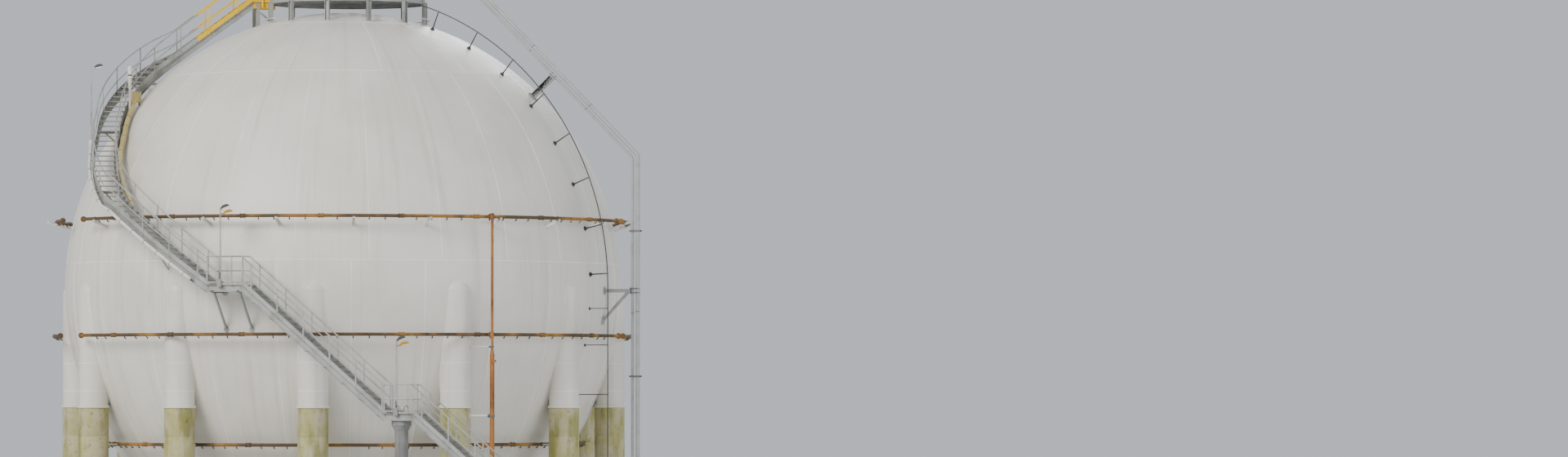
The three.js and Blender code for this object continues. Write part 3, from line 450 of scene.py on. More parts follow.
def lamp_glass():
    look = Look("lamp_glass", "#fff3d6", 0.15)
    look.patches("#ffe3ae", 0.4, 0.4, 0.7, 40, 3)
    look.shader.inputs["Emission Color"].default_value = colour("#ffe9c0")
    look.shader.inputs["Emission Strength"].default_value = 1.2
    return look.done()


PAINT = shell_paint("shell_paint", "#dedad0", 0.32)
# the weld beads' paint: the shell paint made lighter, a painted highlight along the welds
SEAM_HIGHLIGHT = shell_paint("seam_highlight_paint", "#f3f0e8", 0.2)
BASE = leg_base()
ZINC = zinc("galvanised_steel", "#a5a6a2", 0.4)
TREAD = zinc("tread_steel", "#8d8b83", 0.6)
YELLOW = paint("safety_yellow", "#f0c400", "#cf9d06")
# dark brown with large ochre patches: rust, and also painted highlights where the pipe would catch light
RUST_AND_HIGHLIGHT = rusty_pipe("fire_water_paint", "#54432b", "#ad7a2e", 0.75)
RISER = rusty_pipe("riser_paint", "#a06b33", "#7a4722", 0.7)
PIPE = paint("pipe_paint", "#a9aaa9", "#8f908e", 0.4)
WHITE = paint("valve_paint", "#d9d6cc", "#bdb8aa", 0.6)
BLUSH = paint("primer_paint", "#c59a80", "#b58264", 0.6)
STONE = concrete()
DARK = paint("dark_paint", "#2e2e31", "#3c3a38", 0.5, 0.55, "#4f4438")
BOLT = zinc("bolt_steel", "#55565a", 0.9)
LAMP = paint("lamp_housing", "#4b4d4c", "#3c3e3d", 0.3)
OCHRE = paint("lamp_ochre", "#b98a1e", "#a1781c", 0.4)
CREAM = paint("duct_paint", "#cbb878", "#9c8a52", 0.6)
GLASS = lamp_glass()


# Shell


def wavy(azimuth, latitude):
    """A point of the outer skin, which is slightly uneven as welded plate is."""
    p = on_ball(azimuth, latitude)
    out = p.normalized()
    return p + out * (0.004 * noise.noise(p * 0.55) + 0.003 * noise.noise(p * 1.3) - 0.004)


def bead(shape, line, width=0.045, height=0.007):
    """A weld bead along points of the skin, in the lighter seam paint that is its painted highlight."""
    rings = []
    for i, p in enumerate(line):
        along = (line[min(i + 1, len(line) - 1)] - line[max(i - 1, 0)]).normalized()
        out = p.normalized()
        side = along.cross(out).normalized() * width / 2
        rings.append([p - side - out * 0.01, p - side * 0.7 + out * height * 0.7, p + out * height,
                      p + side * 0.7 + out * height * 0.7, p + side - out * 0.01])
    shape.skin(rings, 1)


def course(name, low, high, seams, first, level_seam=None):
    """Plates between two latitudes, with upright welds at each seam azimuth."""
    shape = Shape()
    turns = full_turn(160, 360)
    gap, pole_gap, ring_seam = 0.0008, 0.03, 72
    latitudes = steps(low + (gap if low > -90 else pole_gap), high - (gap if high < 90 else pole_gap),
                      max(2, round((high - low) / 2.25)))
    outer = [[wavy(a, b) for a in turns] for b in latitudes]
    inner = [[on_ball(a, b, RADIUS - PLATE) for a in turns] for b in latitudes]
    if high == 90:
        shape.skin(outer[::-1] + inner)
    else:
        shape.skin(outer + inner[::-1], closed=low > -90)
    ends = (max(low, -ring_seam) + 0.15, min(high, ring_seam) - 0.15)
    for k in range(seams):
        bead(shape, [wavy(first + 360 / seams * k, b) for b in steps(*ends, 30)])
    for latitude in (level_seam, ring_seam if high == 90 else None, -ring_seam if low == -90 else None):
        if latitude is not None:
            bead(shape, [wavy(a, latitude) for a in steps(0, 360, 180)])
    shape.make(name + "_plates", [PAINT, SEAM_HIGHLIGHT], [name], "shell_paint", 50)


course("shell_bottom_crown", -90, -SEAM_CROWN, 12, 8.0)
course("shell_belt_course", -SEAM_CROWN, SEAM_BELT, 24, 1.6, -SEAM_CROWN + 0.12)
course("shell_upper_course", SEAM_BELT, SEAM_CROWN, 24, 5.2, SEAM_BELT + 0.12)
course("shell_top_crown", SEAM_CROWN, 90, 12, 12.0, SEAM_CROWN + 0.12)

# Legs

LEG_CIRCLE, LEG_RADIUS, BASE_RADIUS, COLLAR = 10.42, 0.57, 0.58, -4.56
CAP_RIM, CAP_RISE = -0.17, 0.44
PLATE_TOP = GROUND + 0.05


def leg_azimuth(k):
    return -6.2 + 30 * k


def leg(k):
    """A column with its domed cap, collar, fireproofed base and foot plate."""
    shape = Shape()
    azimuth = leg_azimuth(k)
    out, across = polar(azimuth, 1), polar(azimuth + 90, 1)
    axis = polar(azimuth, LEG_CIRCLE)

    def rings(profile, slot=0):
        shape.skin([[axis + around(out, across, t) * radius + UP * z for t in full_turn(48)]
                    for radius, z in profile], slot)

    def on_cap(turn, rise=0.0):
        side = around(out, across, turn) * LEG_RADIUS
        return axis + side * math.cos(rise) + UP * (CAP_RISE * math.sin(rise) + CAP_RIM)

    # a domed cap, with welds round its rim and where it and the leg meet the shell; the welds carry the
    # seam paint's painted highlight
    rings([(LEG_RADIUS, COLLAR + 0.04), (LEG_RADIUS, -2.2)]
          + [(LEG_RADIUS * math.cos(a), CAP_RISE * math.sin(a) + CAP_RIM)
             for a in map(math.radians, steps(0, 84, 14))])
    rim = [math.radians(a) for a in steps(-52, 52, 16)]
    seam = []
    for turn in rim:
        line = [on_cap(turn, math.radians(a)) for a in range(81)]
        seam += [p for p in line if p.length < RADIUS][:1]
    for weld in ([on_cap(turn) for turn in rim], seam):
        shape.tube(weld, 0.012, 6, 1)
    for way in (-1, 1):
        line = [axis + around(out, across, way * math.radians(a)) * LEG_RADIUS for a in steps(50, 180, 26)]
        under = [Vector((p.x, p.y, -shell_radius(p.length))) for p in line if p.length < RADIUS]
        shape.tube(under, 0.02, 6, 1)
    # weld rings round the leg, in the seam paint with its painted highlight
    for z in (-2.9, COLLAR + 0.6):
        rings([(LEG_RADIUS - 0.002, z - 0.02), (LEG_RADIUS + 0.005, z), (LEG_RADIUS - 0.002, z + 0.02)], 1)
    # collar, then the fireproofed base with its construction joints
    rings([(0.612, COLLAR - 0.05), (0.622, COLLAR - 0.042), (0.622, COLLAR + 0.035), (0.6, COLLAR + 0.045)])
    base = [(BASE_RADIUS, PLATE_TOP)]
    for z in (-11.4, -9.9, -8.4, -6.9, -5.7):
        base += [(BASE_RADIUS, z - 0.012), (BASE_RADIUS - 0.007, z), (BASE_RADIUS, z + 0.012)]
    rings(base + [(BASE_RADIUS, COLLAR - 0.05)], 2)
    # foot plate with gussets and bolts
    rings([(0.795, GROUND), (0.8, GROUND + 0.005), (0.8, PLATE_TOP - 0.005), (0.795, PLATE_TOP)], 3)
    gusset = ((0.57, 0), (0.78, 0), (0.78, 0.03), (0.57, 0.26))
    for i in range(8):
        way = around(out, across, math.pi / 4 * (i + 0.5))
        half = way.cross(UP) * 0.008
        shape.skin([[axis + way * r + UP * (PLATE_TOP + z) + side for r, z in gusset]
                    for side in (half, -half)], 3)
    shape.bolts(axis + UP * (PLATE_TOP + 0.01), UP, 0.72, 8, 0.028, 3)
    shape.make(f"leg_{k + 1}_column", [PAINT, SEAM_HIGHLIGHT, BASE, ZINC], [f"leg_{k + 1}"], "leg_paint", 40)


for k in range(12):
    leg(k)


# Cross braces


def cross_brace(k):
    """Crossed rods between neighbouring legs, with forks, sleeves and a round plate at the crossing."""
    shape = Shape()
    first, second = polar(leg_azimuth(k), LEG_CIRCLE), polar(leg_azimuth(k + 1), LEG_CIRCLE)
    along = (second - first).normalized()
    face = along.cross(UP)
    top, bottom, clear = -6.1, -12.15, BASE_RADIUS - 0.02
    rod, fork, pin_radius, pin_from = 0.058, 0.16, 0.028, 0.3
    for a, b in ((first, second), (second, first)):
        high, low = a + UP * top, b + UP * bottom
        way = (low - high).normalized()
        start = clear / abs(way.dot(along))
        head, foot = high + way * start, low - way * start
        shape.rod(head + way * 0.1, foot - way * 0.1, rod, 16)
        for at, onward in ((head, way), (foot, -way)):
            pin = at + onward * pin_from
            shape.bar(at - onward * 0.05, pin + onward * 0.12, 0.03, fork, 0, way.cross(face))
            shape.rod(pin - face * 0.06, pin + face * 0.06, pin_radius, 8, 1)
        sleeve = high.lerp(low, 0.32)
        shape.turned([(0.06, -0.28), (0.078, -0.24), (0.078, 0.24), (0.06, 0.28)], sleeve, way, 12)
    middle = first.lerp(second, 0.5) + UP * (top + bottom) / 2
    shape.disc(middle, face, 0.2, 0.05, 24)
    shape.bolts(middle + face * 0.028, face, 0.14, 6, 0.016, 1)
    shape.make(f"cross_brace_{k + 1}_rods", [PAINT, BOLT], [f"cross_brace_{k + 1}"], "leg_paint")


for k in range(12):
    cross_brace(k)

# Fire-water rings, each with its radius and height

ARCS = [(-63, 71), (74.5, 178), (181, 284)]
UPPER, LOWER, INNER = (11.12, 2.6), (11.2, -1.84), (9.4, -6.0)
RING_PIPE = 0.064
ARM_SPACING, ARM_FIRST = 15, 2
COUPLING = [(0.066, -0.11), (0.09, -0.1), (0.09, -0.06), (0.08, -0.05), (0.08, 0.05), (0.09, 0.06),
            (0.09, 0.1), (0.066, 0.11)]
NOZZLE = [(0.018, 0), (0.032, 0.02), (0.032, 0.05), (0.02, 0.07)]
ANGLE = [(-0.05, 0.04), (0.05, 0.04), (0.05, 0.03), (-0.04, 0.03), (-0.04, -0.06), (-0.05, -0.06)]
# slots 0 pipes, 1 bolts and straps, 2 brackets
RING_LOOKS = [RUST_AND_HIGHLIGHT, BOLT, WHITE]


def ring_points(ring, start, end):
    return [polar(a, *ring) for a in steps(start, end, max(2, round((end - start) / 2)))]


def ring_fittings(shape, ring, start, end):
    """Couplings and spray nozzles along a ring."""
    azimuth, k = start + 6, 0
    while azimuth < end - 4:
        at, inward = polar(azimuth, *ring), polar(azimuth, -1)
        if k % 5 == 2:
            shape.turned(COUPLING, at, polar(azimuth + 90, 1), 14)
        else:
            drop = at + (inward * 0.5 - UP).normalized() * 0.12
            shape.rod(at, drop, 0.02, 8)
            shape.turned(NOZZLE, drop, (inward * 0.9 - UP * 0.4).normalized(), 8, 1)
        azimuth += 3.1
        k += 1


def ring_ends(shape, ring, span):
    """A blind flange at either end of an arc."""
    for azimuth, way in ((span[0], 1), (span[1], -1)):
        at, along = polar(azimuth, *ring), polar(azimuth + 90, way)
        for offset in (0.025, -0.014):
            shape.disc(at + along * offset, along, 0.112, 0.032, 20)
        shape.bolts(at - along * 0.03, -along, 0.088, 8, 0.011, 1)


def ring_arm(shape, azimuth):
    """A sloping angle bar on a pad, with a saddle and a strap for the pipe."""
    out, across = polar(azimuth, 1), polar(azimuth + 90, 1)
    bed = UPPER[1] - RING_PIPE

    def along(r):
        return out * r + UP * (bed - 0.035 + (r - UPPER[0]) * 0.36)

    root = along(shell_radius(along(10.45).z) - 0.03)
    end = along(11.2 if abs(azimuth) < 75 else 11.48)
    up = (end - root).normalized().cross(across)
    shape.section([(p, across, up) for p in (root, end)], ANGLE, 2)
    pad = root - UP * 0.02
    shape.disc(pad + pad.normalized() * 0.03, pad.normalized(), 0.09, 0.02, 20, 2)
    seat = out * UPPER[0] + UP * (bed - 0.02)
    shape.bar(seat - out * 0.07, seat + out * 0.07, 0.1, 0.05, 2)
    shape.strap(polar(azimuth, *UPPER), out, UP, 0.07, 0.011, -0.6, math.pi + 0.6)


def leg_brackets(shape, ring, span, inside):
    """An arm from each leg within a span to the ring's pipe."""
    edge = LEG_CIRCLE + (-BASE_RADIUS if inside else LEG_RADIUS)
    for k in range(-12, 24):
        azimuth = leg_azimuth(k)
        if span[0] < azimuth < span[1]:
            a, b = polar(azimuth, edge, ring[1]), polar(azimuth, ring[0], ring[1] - 0.01)
            shape.bar(a, b, 0.09, 0.05, 2)
            shape.bar(a, a + (b - a).normalized() * 0.012, 0.2, 0.22, 2)
            shape.strap(polar(azimuth, *ring), polar(azimuth, 1), UP, 0.07, 0.011, count=16)


for n, span in enumerate(ARCS, 1):
    upper, lower = Shape(), Shape()
    for shape, ring in ((upper, UPPER), (lower, LOWER)):
        shape.tube(ring_points(ring, *span), RING_PIPE, 16)
        ring_fittings(shape, ring, *span)
        ring_ends(shape, ring, span)
    for k in range(-6, 30):
        azimuth = ARM_FIRST + ARM_SPACING * k
        if span[0] + 2 < azimuth < span[1] - 2:
            ring_arm(upper, azimuth)
    leg_brackets(lower, LOWER, (span[0] + 3, span[1] - 3), False)
    upper.make(f"upper_ring_{n}", RING_LOOKS, [f"fire_water_upper_arc_{n}"], "fire_water")
    lower.make(f"lower_ring_{n}", RING_LOOKS, [f"fire_water_lower_arc_{n}"], "fire_water")

inner = Shape()
inner.tube([polar(a, *INNER) for a in full_turn(180, 360)], RING_PIPE, 16, closed=True)
ring_fittings(inner, INNER, 0, 356)
leg_brackets(inner, INNER, (-180, 180), True)
inner.make("inner_ring", RING_LOOKS, ["fire_water_inner_ring"], "fire_water")


def riser(n, azimuth):
    """An upright feed pipe: wide below its reducer, with an arm to each ring."""
    shape = Shape()
    out = polar(azimuth, 1)
    line, wide, narrow = 11.44, 0.09, 0.052

    def at(z, r=line):
        return out * r + UP * z

    shape.turned([(wide, GROUND), (wide, -2.6), (0.085, -2.57), (0.057, -2.43), (narrow, -2.4),
                  (narrow, UPPER[1] + 0.09)], at(0), UP, 20)
    shape.disc(at(UPPER[1] + 0.1), UP, 0.09, 0.03)
    for z in (-7.6, GROUND + 0.07):
        shape.flange(at(z), UP, 0.165, 0.025)
    for z in (-2.62, -2.4, -5.2, 0.6):
        shape.weld(at(z), UP, wide if z < -2.5 else narrow)
    # hose coupling facing outwards, with its cap on a lug, and a handle to the right
    tap = at(-2.84)
    shape.turned([(0.05, 0.05), (0.05, 0.1), (0.072, 0.11), (0.072, 0.125), (0.06, 0.13), (0.06, 0.15),
                  (0.072, 0.155), (0.072, 0.17)], tap, polar(azimuth - 15, 1), 20)
    shape.turned([(0.03, 0.05), (0.03, 0.11), (0.045, 0.12), (0.045, 0.15), (0.03, 0.16)],
                 tap, polar(azimuth + 90, 1), 14, 1)
    for ring in (UPPER, LOWER, INNER):
        shape.rod(at(ring[1]), at(ring[1], ring[0] + RING_PIPE * 0.93), 0.05, 16)
        if ring is not INNER:
            shape.flange(at(ring[1], (line + ring[0]) / 2), out, 0.1, 0.014)
        shape.turned([(0.054, -0.12), (0.07, -0.1), (0.07, 0.1), (0.054, 0.12)], at(ring[1]), UP, 16)
    shape.flange(at(INNER[1], 10.9), out, 0.115, 0.018)
    # arms from the nearest leg
    nearest = round((azimuth - leg_azimuth(0)) / 30)
    for z, arm, clamp in ((-2.3, 0.03, 0.075), (-4.9, 0.05, 0.11)):
        centre = polar(leg_azimuth(nearest), LEG_CIRCLE, z)
        way = (at(z) - centre).normalized()
        root = centre + way * (BASE_RADIUS if z < COLLAR else LEG_RADIUS)
        end = at(z) - way * clamp
        shape.rod(root, end, arm, 14, 2)
        shape.disc(root + way * 0.01, way, arm * 2.2, 0.02, 18, 2)
        shape.turned([(arm * 1.5, -0.05), (arm * 1.5, 0.01)], end, way, 6, 1)
        shape.sleeve(at(z), UP, clamp, 0.04, 18)
    shape.make(f"riser_{n}", [RISER, BOLT, WHITE], [f"fire_water_riser_{n}"], "fire_water")


for n, azimuth in enumerate((29.2, 119.2, 239.2), 1):
    riser(n, azimuth)

# Conductor line on its stand-offs


def conductor():
    shape = Shape()
    azimuth, line = 61, 11.55
    across = polar(azimuth + 90, 1)
    shape.tube([on_ball(azimuth, b, line) for b in steps(73, 0, 50)]
               + [polar(azimuth, line, z) for z in (-1, -4, -8, GROUND)], 0.02, 10)
    for i in range(8):
        latitude = 68.7 - 9.43 * i
        foot, head = on_ball(azimuth, latitude, RADIUS - 0.005), on_ball(azimuth, latitude, line)
        way = (head - foot).normalized()
        shape.turned([(0.1, 0), (0.1, 0.015), (0.045, 0.09), (0.03, 0.1)], foot, way, 4)
        shape.tube([foot, head], [0.028, 0.02], 8)
        shape.sleeve(head, across.cross(way), 0.034, 0.05)
    for z in (-0.8, -2.2, -4.1):
        foot, head = polar(azimuth, shell_radius(z) - 0.01, z), polar(azimuth, line, z)
        shape.bar(foot, head, 0.03, 0.03)
        shape.turned([(0.07, 0), (0.07, 0.012)], foot, (head - foot).normalized(), 8)
        shape.sleeve(head, UP, 0.034, 0.05)
    shape.make("conductor", [DARK, BOLT], ["conductor_line"], "dark_line")


conductor()

# Relief and vent pipes

RELIEF = {"azimuth": 68.5, "pipe": 0.085, "vent": 0.055, "apart": 0.215, "top": 11.36, "bend": 5.6,
          "foot": 11.93}
RELIEF_OUT, RELIEF_ACROSS = polar(RELIEF["azimuth"], 1), polar(RELIEF["azimuth"] + 90, 1)


def relief_at(r, z):
    return polar(RELIEF["azimuth"], r, z)


def rounded(points, radius, count=6):
    """A path with its corners rounded."""
    path = [points[0]]
    for before, corner, after in zip(points, points[1:], points[2:]):
        a, b = (before - corner).normalized(), (after - corner).normalized()
        angle = a.angle(b)
        reach = radius / math.tan(angle / 2)
        centre = corner + (a + b).normalized() * radius / math.sin(angle / 2)
        start, end = corner + a * reach - centre, corner + b * reach - centre
        path += [centre + start.slerp(end, i / count) * radius for i in range(count + 1)]
    return path + [points[-1]]


def relief_pipes():
    """Both pipes, level over the top, then down the shoulder and upright to the ground."""
    shape = Shape()
    top, bend, foot, apart = (RELIEF[key] for key in ("top", "bend", "foot", "apart"))
    half_angle = math.radians(22.5)
    for radius, offset in ((RELIEF["vent"], 0.0), (RELIEF["pipe"], apart)):
        shift = offset * math.tan(half_angle)
        corners = [relief_at(2.3, top + offset), relief_at(bend + shift, top + offset),
                   relief_at(foot + offset, top + bend - foot + shift), relief_at(foot + offset, GROUND)]
        shape.tube(rounded(corners, 0.3), radius, 20)
        for a, b in zip(corners, corners[1:]):
            for share in (0.34, 0.7):
                shape.weld(a.lerp(b, share), (b - a).normalized(), radius, 0.008)
        first, second = corners[:2]
        shape.flange(first.lerp(second, 0.02), (second - first).normalized(), radius * 1.9, 0.02)
    # ties that hold the pair together
    spans = [(relief_at(4.73, top), relief_at(4.73, top + apart))]
    spans += [(relief_at(foot, z), relief_at(foot + apart, z)) for z in (-7, -3.4, 2.2)]
    for a, b in spans:
        way = (b - a).normalized()
        for side in (-1, 1):
            lift = RELIEF_ACROSS * side * 0.1
            shape.bar(a - way * 0.1 + lift, b + way * 0.13 + lift, 0.012, 0.07, 1, way.cross(RELIEF_ACROSS))
        for p in (a - way * 0.08, a.lerp(b, 0.45)):
            shape.rod(p - RELIEF_ACROSS * 0.12, p + RELIEF_ACROSS * 0.12, 0.012, 6, 1)
    shape.make("relief_lines", [PIPE, BOLT], ["relief_pipes"], "pipe_grey")


relief_pipes()


def relief_post():
    shape = Shape()
    z = 7.43
    r = shell_radius(z)
    out = relief_at(r, z).normalized()
    up = RELIEF_ACROSS.cross(out)
    line = (RELIEF["top"] + RELIEF["bend"]) / math.sqrt(2) - RELIEF["vent"]
    foot, head = out * RADIUS, out * (line / math.cos(math.atan2(z, r) - math.pi / 4))
    # an I-section between two plates
    for side in (up * -0.1, up * 0.1):
        shape.bar(foot + side, head - out * 0.02 + side, 0.19, 0.016, 0, up)
    shape.bar(foot, head, 0.19, 0.012, 0, up.cross(out))
    shape.bar(foot, head - out * 0.02, 0.012, 0.2, 0, up)
    shape.disc(foot + out * 0.012, out, 0.21, 0.03, 28)
    shape.disc(foot + out * 0.05, out, 0.17, 0.02, 28)
    shape.bolts(foot + out * 0.035, out, 0.185, 8, 0.014, 1)
    saddle = head - out * 0.03
    shape.bar(saddle - up * 0.16, saddle + up * 0.16, 0.3, 0.024, 0, out)
    for way in (-1, 1):
        seat = head + out * 0.055 + up * way * 0.09
        shape.strap(seat, RELIEF_ACROSS, out, 0.062, 0.01, -0.4, math.pi + 0.4)
    shape.make("relief_post", [ZINC, BOLT], ["relief_pipe_post"])


relief_post()


def relief_bracket():
    """A level channel and a sloping one below it, from the shell to the pipes."""
    shape = Shape()
    z, low_z = -0.1, -1.25
    face = RELIEF["foot"] - RELIEF["vent"]
    channel = [(-0.06, 0.07), (0.06, 0.07), (0.06, 0.058), (-0.048, 0.058), (-0.048, -0.058),
               (0.06, -0.058), (0.06, -0.07), (-0.06, -0.07)]
    root, low = relief_at(10.77, z), relief_at(shell_radius(low_z), low_z)
    for start, end, size in ((root, relief_at(face, z), 1), (low, relief_at(face - 0.12, z - 0.05), 0.75)):
        up = RELIEF_ACROSS.cross((end - start).normalized())
        outline = [(x * size, y * size) for x, y in channel]
        shape.section([(p, RELIEF_ACROSS, up) for p in (start, end)], outline)
        out = start.normalized()
        shape.bar(start + out * 0.005, start + out * 0.03, 0.3, 0.3)
    shape.bar(relief_at(face - 0.03, z), relief_at(face, z), 0.3, 0.24)
    for level in (z - 0.08, z + 0.08):
        vent, pipe = (relief_at(RELIEF["foot"] + offset, level) for offset in (0, RELIEF["apart"]))
        shape.strap(vent, RELIEF_OUT, RELIEF_ACROSS, 0.064, 0.012, -2.3, 2.3)
        ring = [pipe + around(RELIEF_OUT, RELIEF_ACROSS, t) * 0.094 for t in full_turn(18)]
        shape.tube(ring, 0.012, 6, 1, closed=True)
        for side in (RELIEF_ACROSS * 0.09, RELIEF_ACROSS * -0.09):
            shape.bar(vent + side, pipe + side, 0.012, 0.05, 1)
    shape.make("relief_bracket", [ZINC, BOLT], ["relief_pipe_bracket"])


relief_bracket()

# Stair. A station is the height of a flight's line, its inner and outer edge and its direction in plan

WIDTH, RISE, GOING = 0.9, 0.2, 0.2367
TANGENT, SLOPE, SPIRAL_START, INNER_EDGE = -21.5, 1.361, -25, 11.23
CLOSE_FROM, CLOSE_TO, CLOSE_RADIUS = 3.05, 5.8, 11.124
MID_HALF, LANDING = 0.68, 1.12
RAIL_HEIGHT, POST_INSET, RAIL_INSET = 1.07, 0.02, 0.022
# outlines of (inset, lift) from a flight's line
CHANNEL, EDGE = ([(0.08, -0.005), (0, -0.005), (0, -0.017), (0.07, -0.017), (0.07, 0.012 - low),
                  (0, 0.012 - low), (0, -low), (0.08, -low)] for low in (0.28, 0.265))
TOE, LOW_TOE = ([(0.026, low), (0.032, low), (0.032, high), (0.026, high)]
                for low, high in ((0.01, 0.203), (0.06, 0.124)))


def inner_radius(z):
    """The winding flight's inner edge, which closes in on the shell on its way up."""
    if z <= CLOSE_FROM:
        return INNER_EDGE
    extra = math.hypot(INNER_EDGE, CLOSE_FROM) - CLOSE_RADIUS
    reach = CLOSE_RADIUS + extra * max(0.0, 1 - (z - CLOSE_FROM) / (CLOSE_TO - CLOSE_FROM))
    return math.sqrt(max(reach ** 2 - z ** 2, 1e-6))


def spiral_stations():
    """The winding flight: round the shell, then straight in to the deck."""
    risers, parts = round(DECK_TOP / RISE), 24
    step = DECK_TOP / risers / parts
    stations, straight, turn = [], None, math.radians(SPIRAL_START)
    edge = Vector()
    for i in range(risers * parts + 1):
        z = i * step
        r = inner_radius(z)
        inward = (inner_radius(z + step) - r) / step
        out = Vector((math.sin(turn), -math.cos(turn), 0))
        if straight is None:
            rate = math.sqrt(max(SLOPE ** 2 - inward ** 2, 0))
            along = (Vector((-math.cos(turn), -math.sin(turn), 0)) * rate + out * inward).normalized()
            edge = out * r
            turn -= rate / r * step
            if SLOPE + inward < 0.01:
                straight = along
        else:
            along = straight
        if i % parts == 0:
            across = Vector((-along.y, along.x, 0))
            stations.append((z, edge.copy(), edge + across * WIDTH, along))
        if straight is not None:
            edge = edge + straight * SLOPE * step
    return stations


ALONG, OUT = polar(TANGENT + 90, 1), polar(TANGENT, 1)


def straight_at(t, across):
    return OUT * (INNER_EDGE + across) + ALONG * t


def straight_stations(t, z, risers):
    return [(z - i * RISE, straight_at(t + i * GOING, 0), straight_at(t + i * GOING, WIDTH), ALONG)
            for i in range(risers + 1)]


def edge_of(station, side, inset, lift=0.0):
    """A point at an inset from the inner edge, or from the outer one where side is 1."""
    a, b = (station[2], station[1]) if side else (station[1], station[2])
    return a.lerp(b, inset / WIDTH) + UP * (station[0] + lift)


def station_at(stations, place):
    i = min(int(place), len(stations) - 2)
    a, b = stations[i], stations[i + 1]
    share = place - i
    return (a[0] + (b[0] - a[0]) * share, a[1].lerp(b[1], share), a[2].lerp(b[2], share), a[3])


def swept(shape, stations, side, outline, slot=0):
    """An outline of (inset, lift) along one side of the stair."""
    shape.skin([[edge_of(s, side, inset, lift) for inset, lift in outline] for s in stations], slot)


def tread(shape, upper, lower, slot):
    """An open grating between two stations, level with the upper one, and its end plates."""
    drop = upper[0] - lower[0]

    def at(across, share, lift=-0.018):
        return edge_of(upper, 0, across, lift).lerp(edge_of(lower, 0, across, lift + drop), share)

    left, right = 0.08, WIDTH - 0.08
    slats = [(0.95, 0.034, 0.036), (0.08, 0.008, 0.036)]
    slats += [(share, 0.006, 0.03) for share in steps(0.2, 0.84, 4)]
    for share, width, depth in slats:
        shape.bar(at(left, share), at(right, share), width, depth, slot)
    for across in (WIDTH * 0.28, WIDTH * 0.5, WIDTH * 0.72):
        shape.bar(at(across, 0.08), at(across, 0.95), 0.007, 0.012, slot)
    plate, thickness = [(0.06, 0), (0.96, 0), (0.96, -0.08), (0.3, -0.05)], 0.006
    for across in (left, right - thickness):
        shape.skin([[at(x, share, lift) for share, lift in plate]
                    for x in (across, across + thickness)], slot)


def stair_rail(shape, stations, side, posts, slot=0):
    """Handrail, middle rail and flat posts. posts are places along the list of stations."""
    for lift, radius in ((RAIL_HEIGHT, 0.025), (RAIL_HEIGHT / 2, 0.022)):
        shape.tube([edge_of(s, side, RAIL_INSET, lift) for s in stations], radius, 10, slot)
    for place in posts:
        s, after = station_at(stations, place), station_at(stations, place + 0.2)
        foot, head = (edge_of(s, side, POST_INSET, lift) for lift in (-0.02, RAIL_HEIGHT - 0.01))
        across = (s[2] - s[1]).normalized()
        shape.bar(foot, head, 0.05, 0.018, slot, across)
        for lift in (RAIL_HEIGHT, RAIL_HEIGHT / 2):
            joint, ahead = (edge_of(p, side, RAIL_INSET, lift) for p in (s, after))
            shape.sleeve(joint, (ahead - joint).normalized(), 0.031, 0.04, 10, slot)
        shape.bar(foot, foot + UP * 0.012, 0.07, 0.1, slot, across)


def post_places(stations, first, every):
    return [first + every * n for n in range(int((len(stations) - 1.01 - first) / every) + 1)]


def flight(shape, stations, posts, clips=True, slot=0):
    """Stringers, toe plates, rails and treads. Rails and toe plates are in the slot."""
    for side in (0, 1):
        swept(shape, stations, side, CHANNEL)
        swept(shape, stations, side, TOE, slot)
        stair_rail(shape, stations, side, posts, slot)
        for s in stations[2:-1:3] if clips else ():
            # a clip under the stringer
            at = edge_of(s, side, 0.04, -0.29)
            shape.bar(at - s[3] * 0.05, at + s[3] * 0.05, 0.06, 0.03, 1)
    for a, b in zip(stations, stations[1:]):
        tread(shape, *((a, b) if a[0] > b[0] else (b, a)), 1)


def grating(shape, corners, z, slot=1):
    """Bearing bars and cross bars that fill a four-cornered floor."""
    a, b, c, d = corners
    bearing = [(a.lerp(d, share), b.lerp(c, share), 0.06, 0.018, 0.006, 0.034)
               for share in steps(0.015, 0.985, max(4, round((a - d).length / 0.06)))]
    crossing = [(a.lerp(b, share), d.lerp(c, share), 0.01, 0.006, 0.007, 0.01)
                for share in steps(0.08, 0.92, 7)]
    for p, q, short, sink, width, depth in bearing + crossing:
        lift = UP * (z - sink)
        shape.bar(p.lerp(q, short) + lift, q.lerp(p, short) + lift, width, depth, slot)


def landing(shape, corners, z, posts, slot=0):
    """Floor, edge channels, toe strips and rails. corners run inner, outer, outer, inner."""
    way = (corners[3] - corners[0]).normalized()
    stations = [(z, corners[0], corners[1], way), (z, corners[3], corners[2], way)]
    for side in (0, 1):
        swept(shape, stations, side, EDGE, slot)
        swept(shape, stations, side, LOW_TOE, slot)
        for share in steps(0.08, 0.92, 3):
            s = station_at(stations, share)
            foot, head = edge_of(s, side, 0.036, -0.01), edge_of(s, side, 0.036, 0.11)
            shape.bar(foot, head, 0.04, 0.006, slot, s[2] - s[1])
        stair_rail(shape, stations, side, posts[side], slot)
    for share in (0.03, 0.5, 0.97):
        a, b = (corners[i].lerp(corners[3 - i], share) + UP * (z - 0.1) for i in (0, 1))
        shape.bar(a.lerp(b, 0.06), b.lerp(a, 0.06), 0.05, 0.12, slot)
    grating(shape, corners, z)


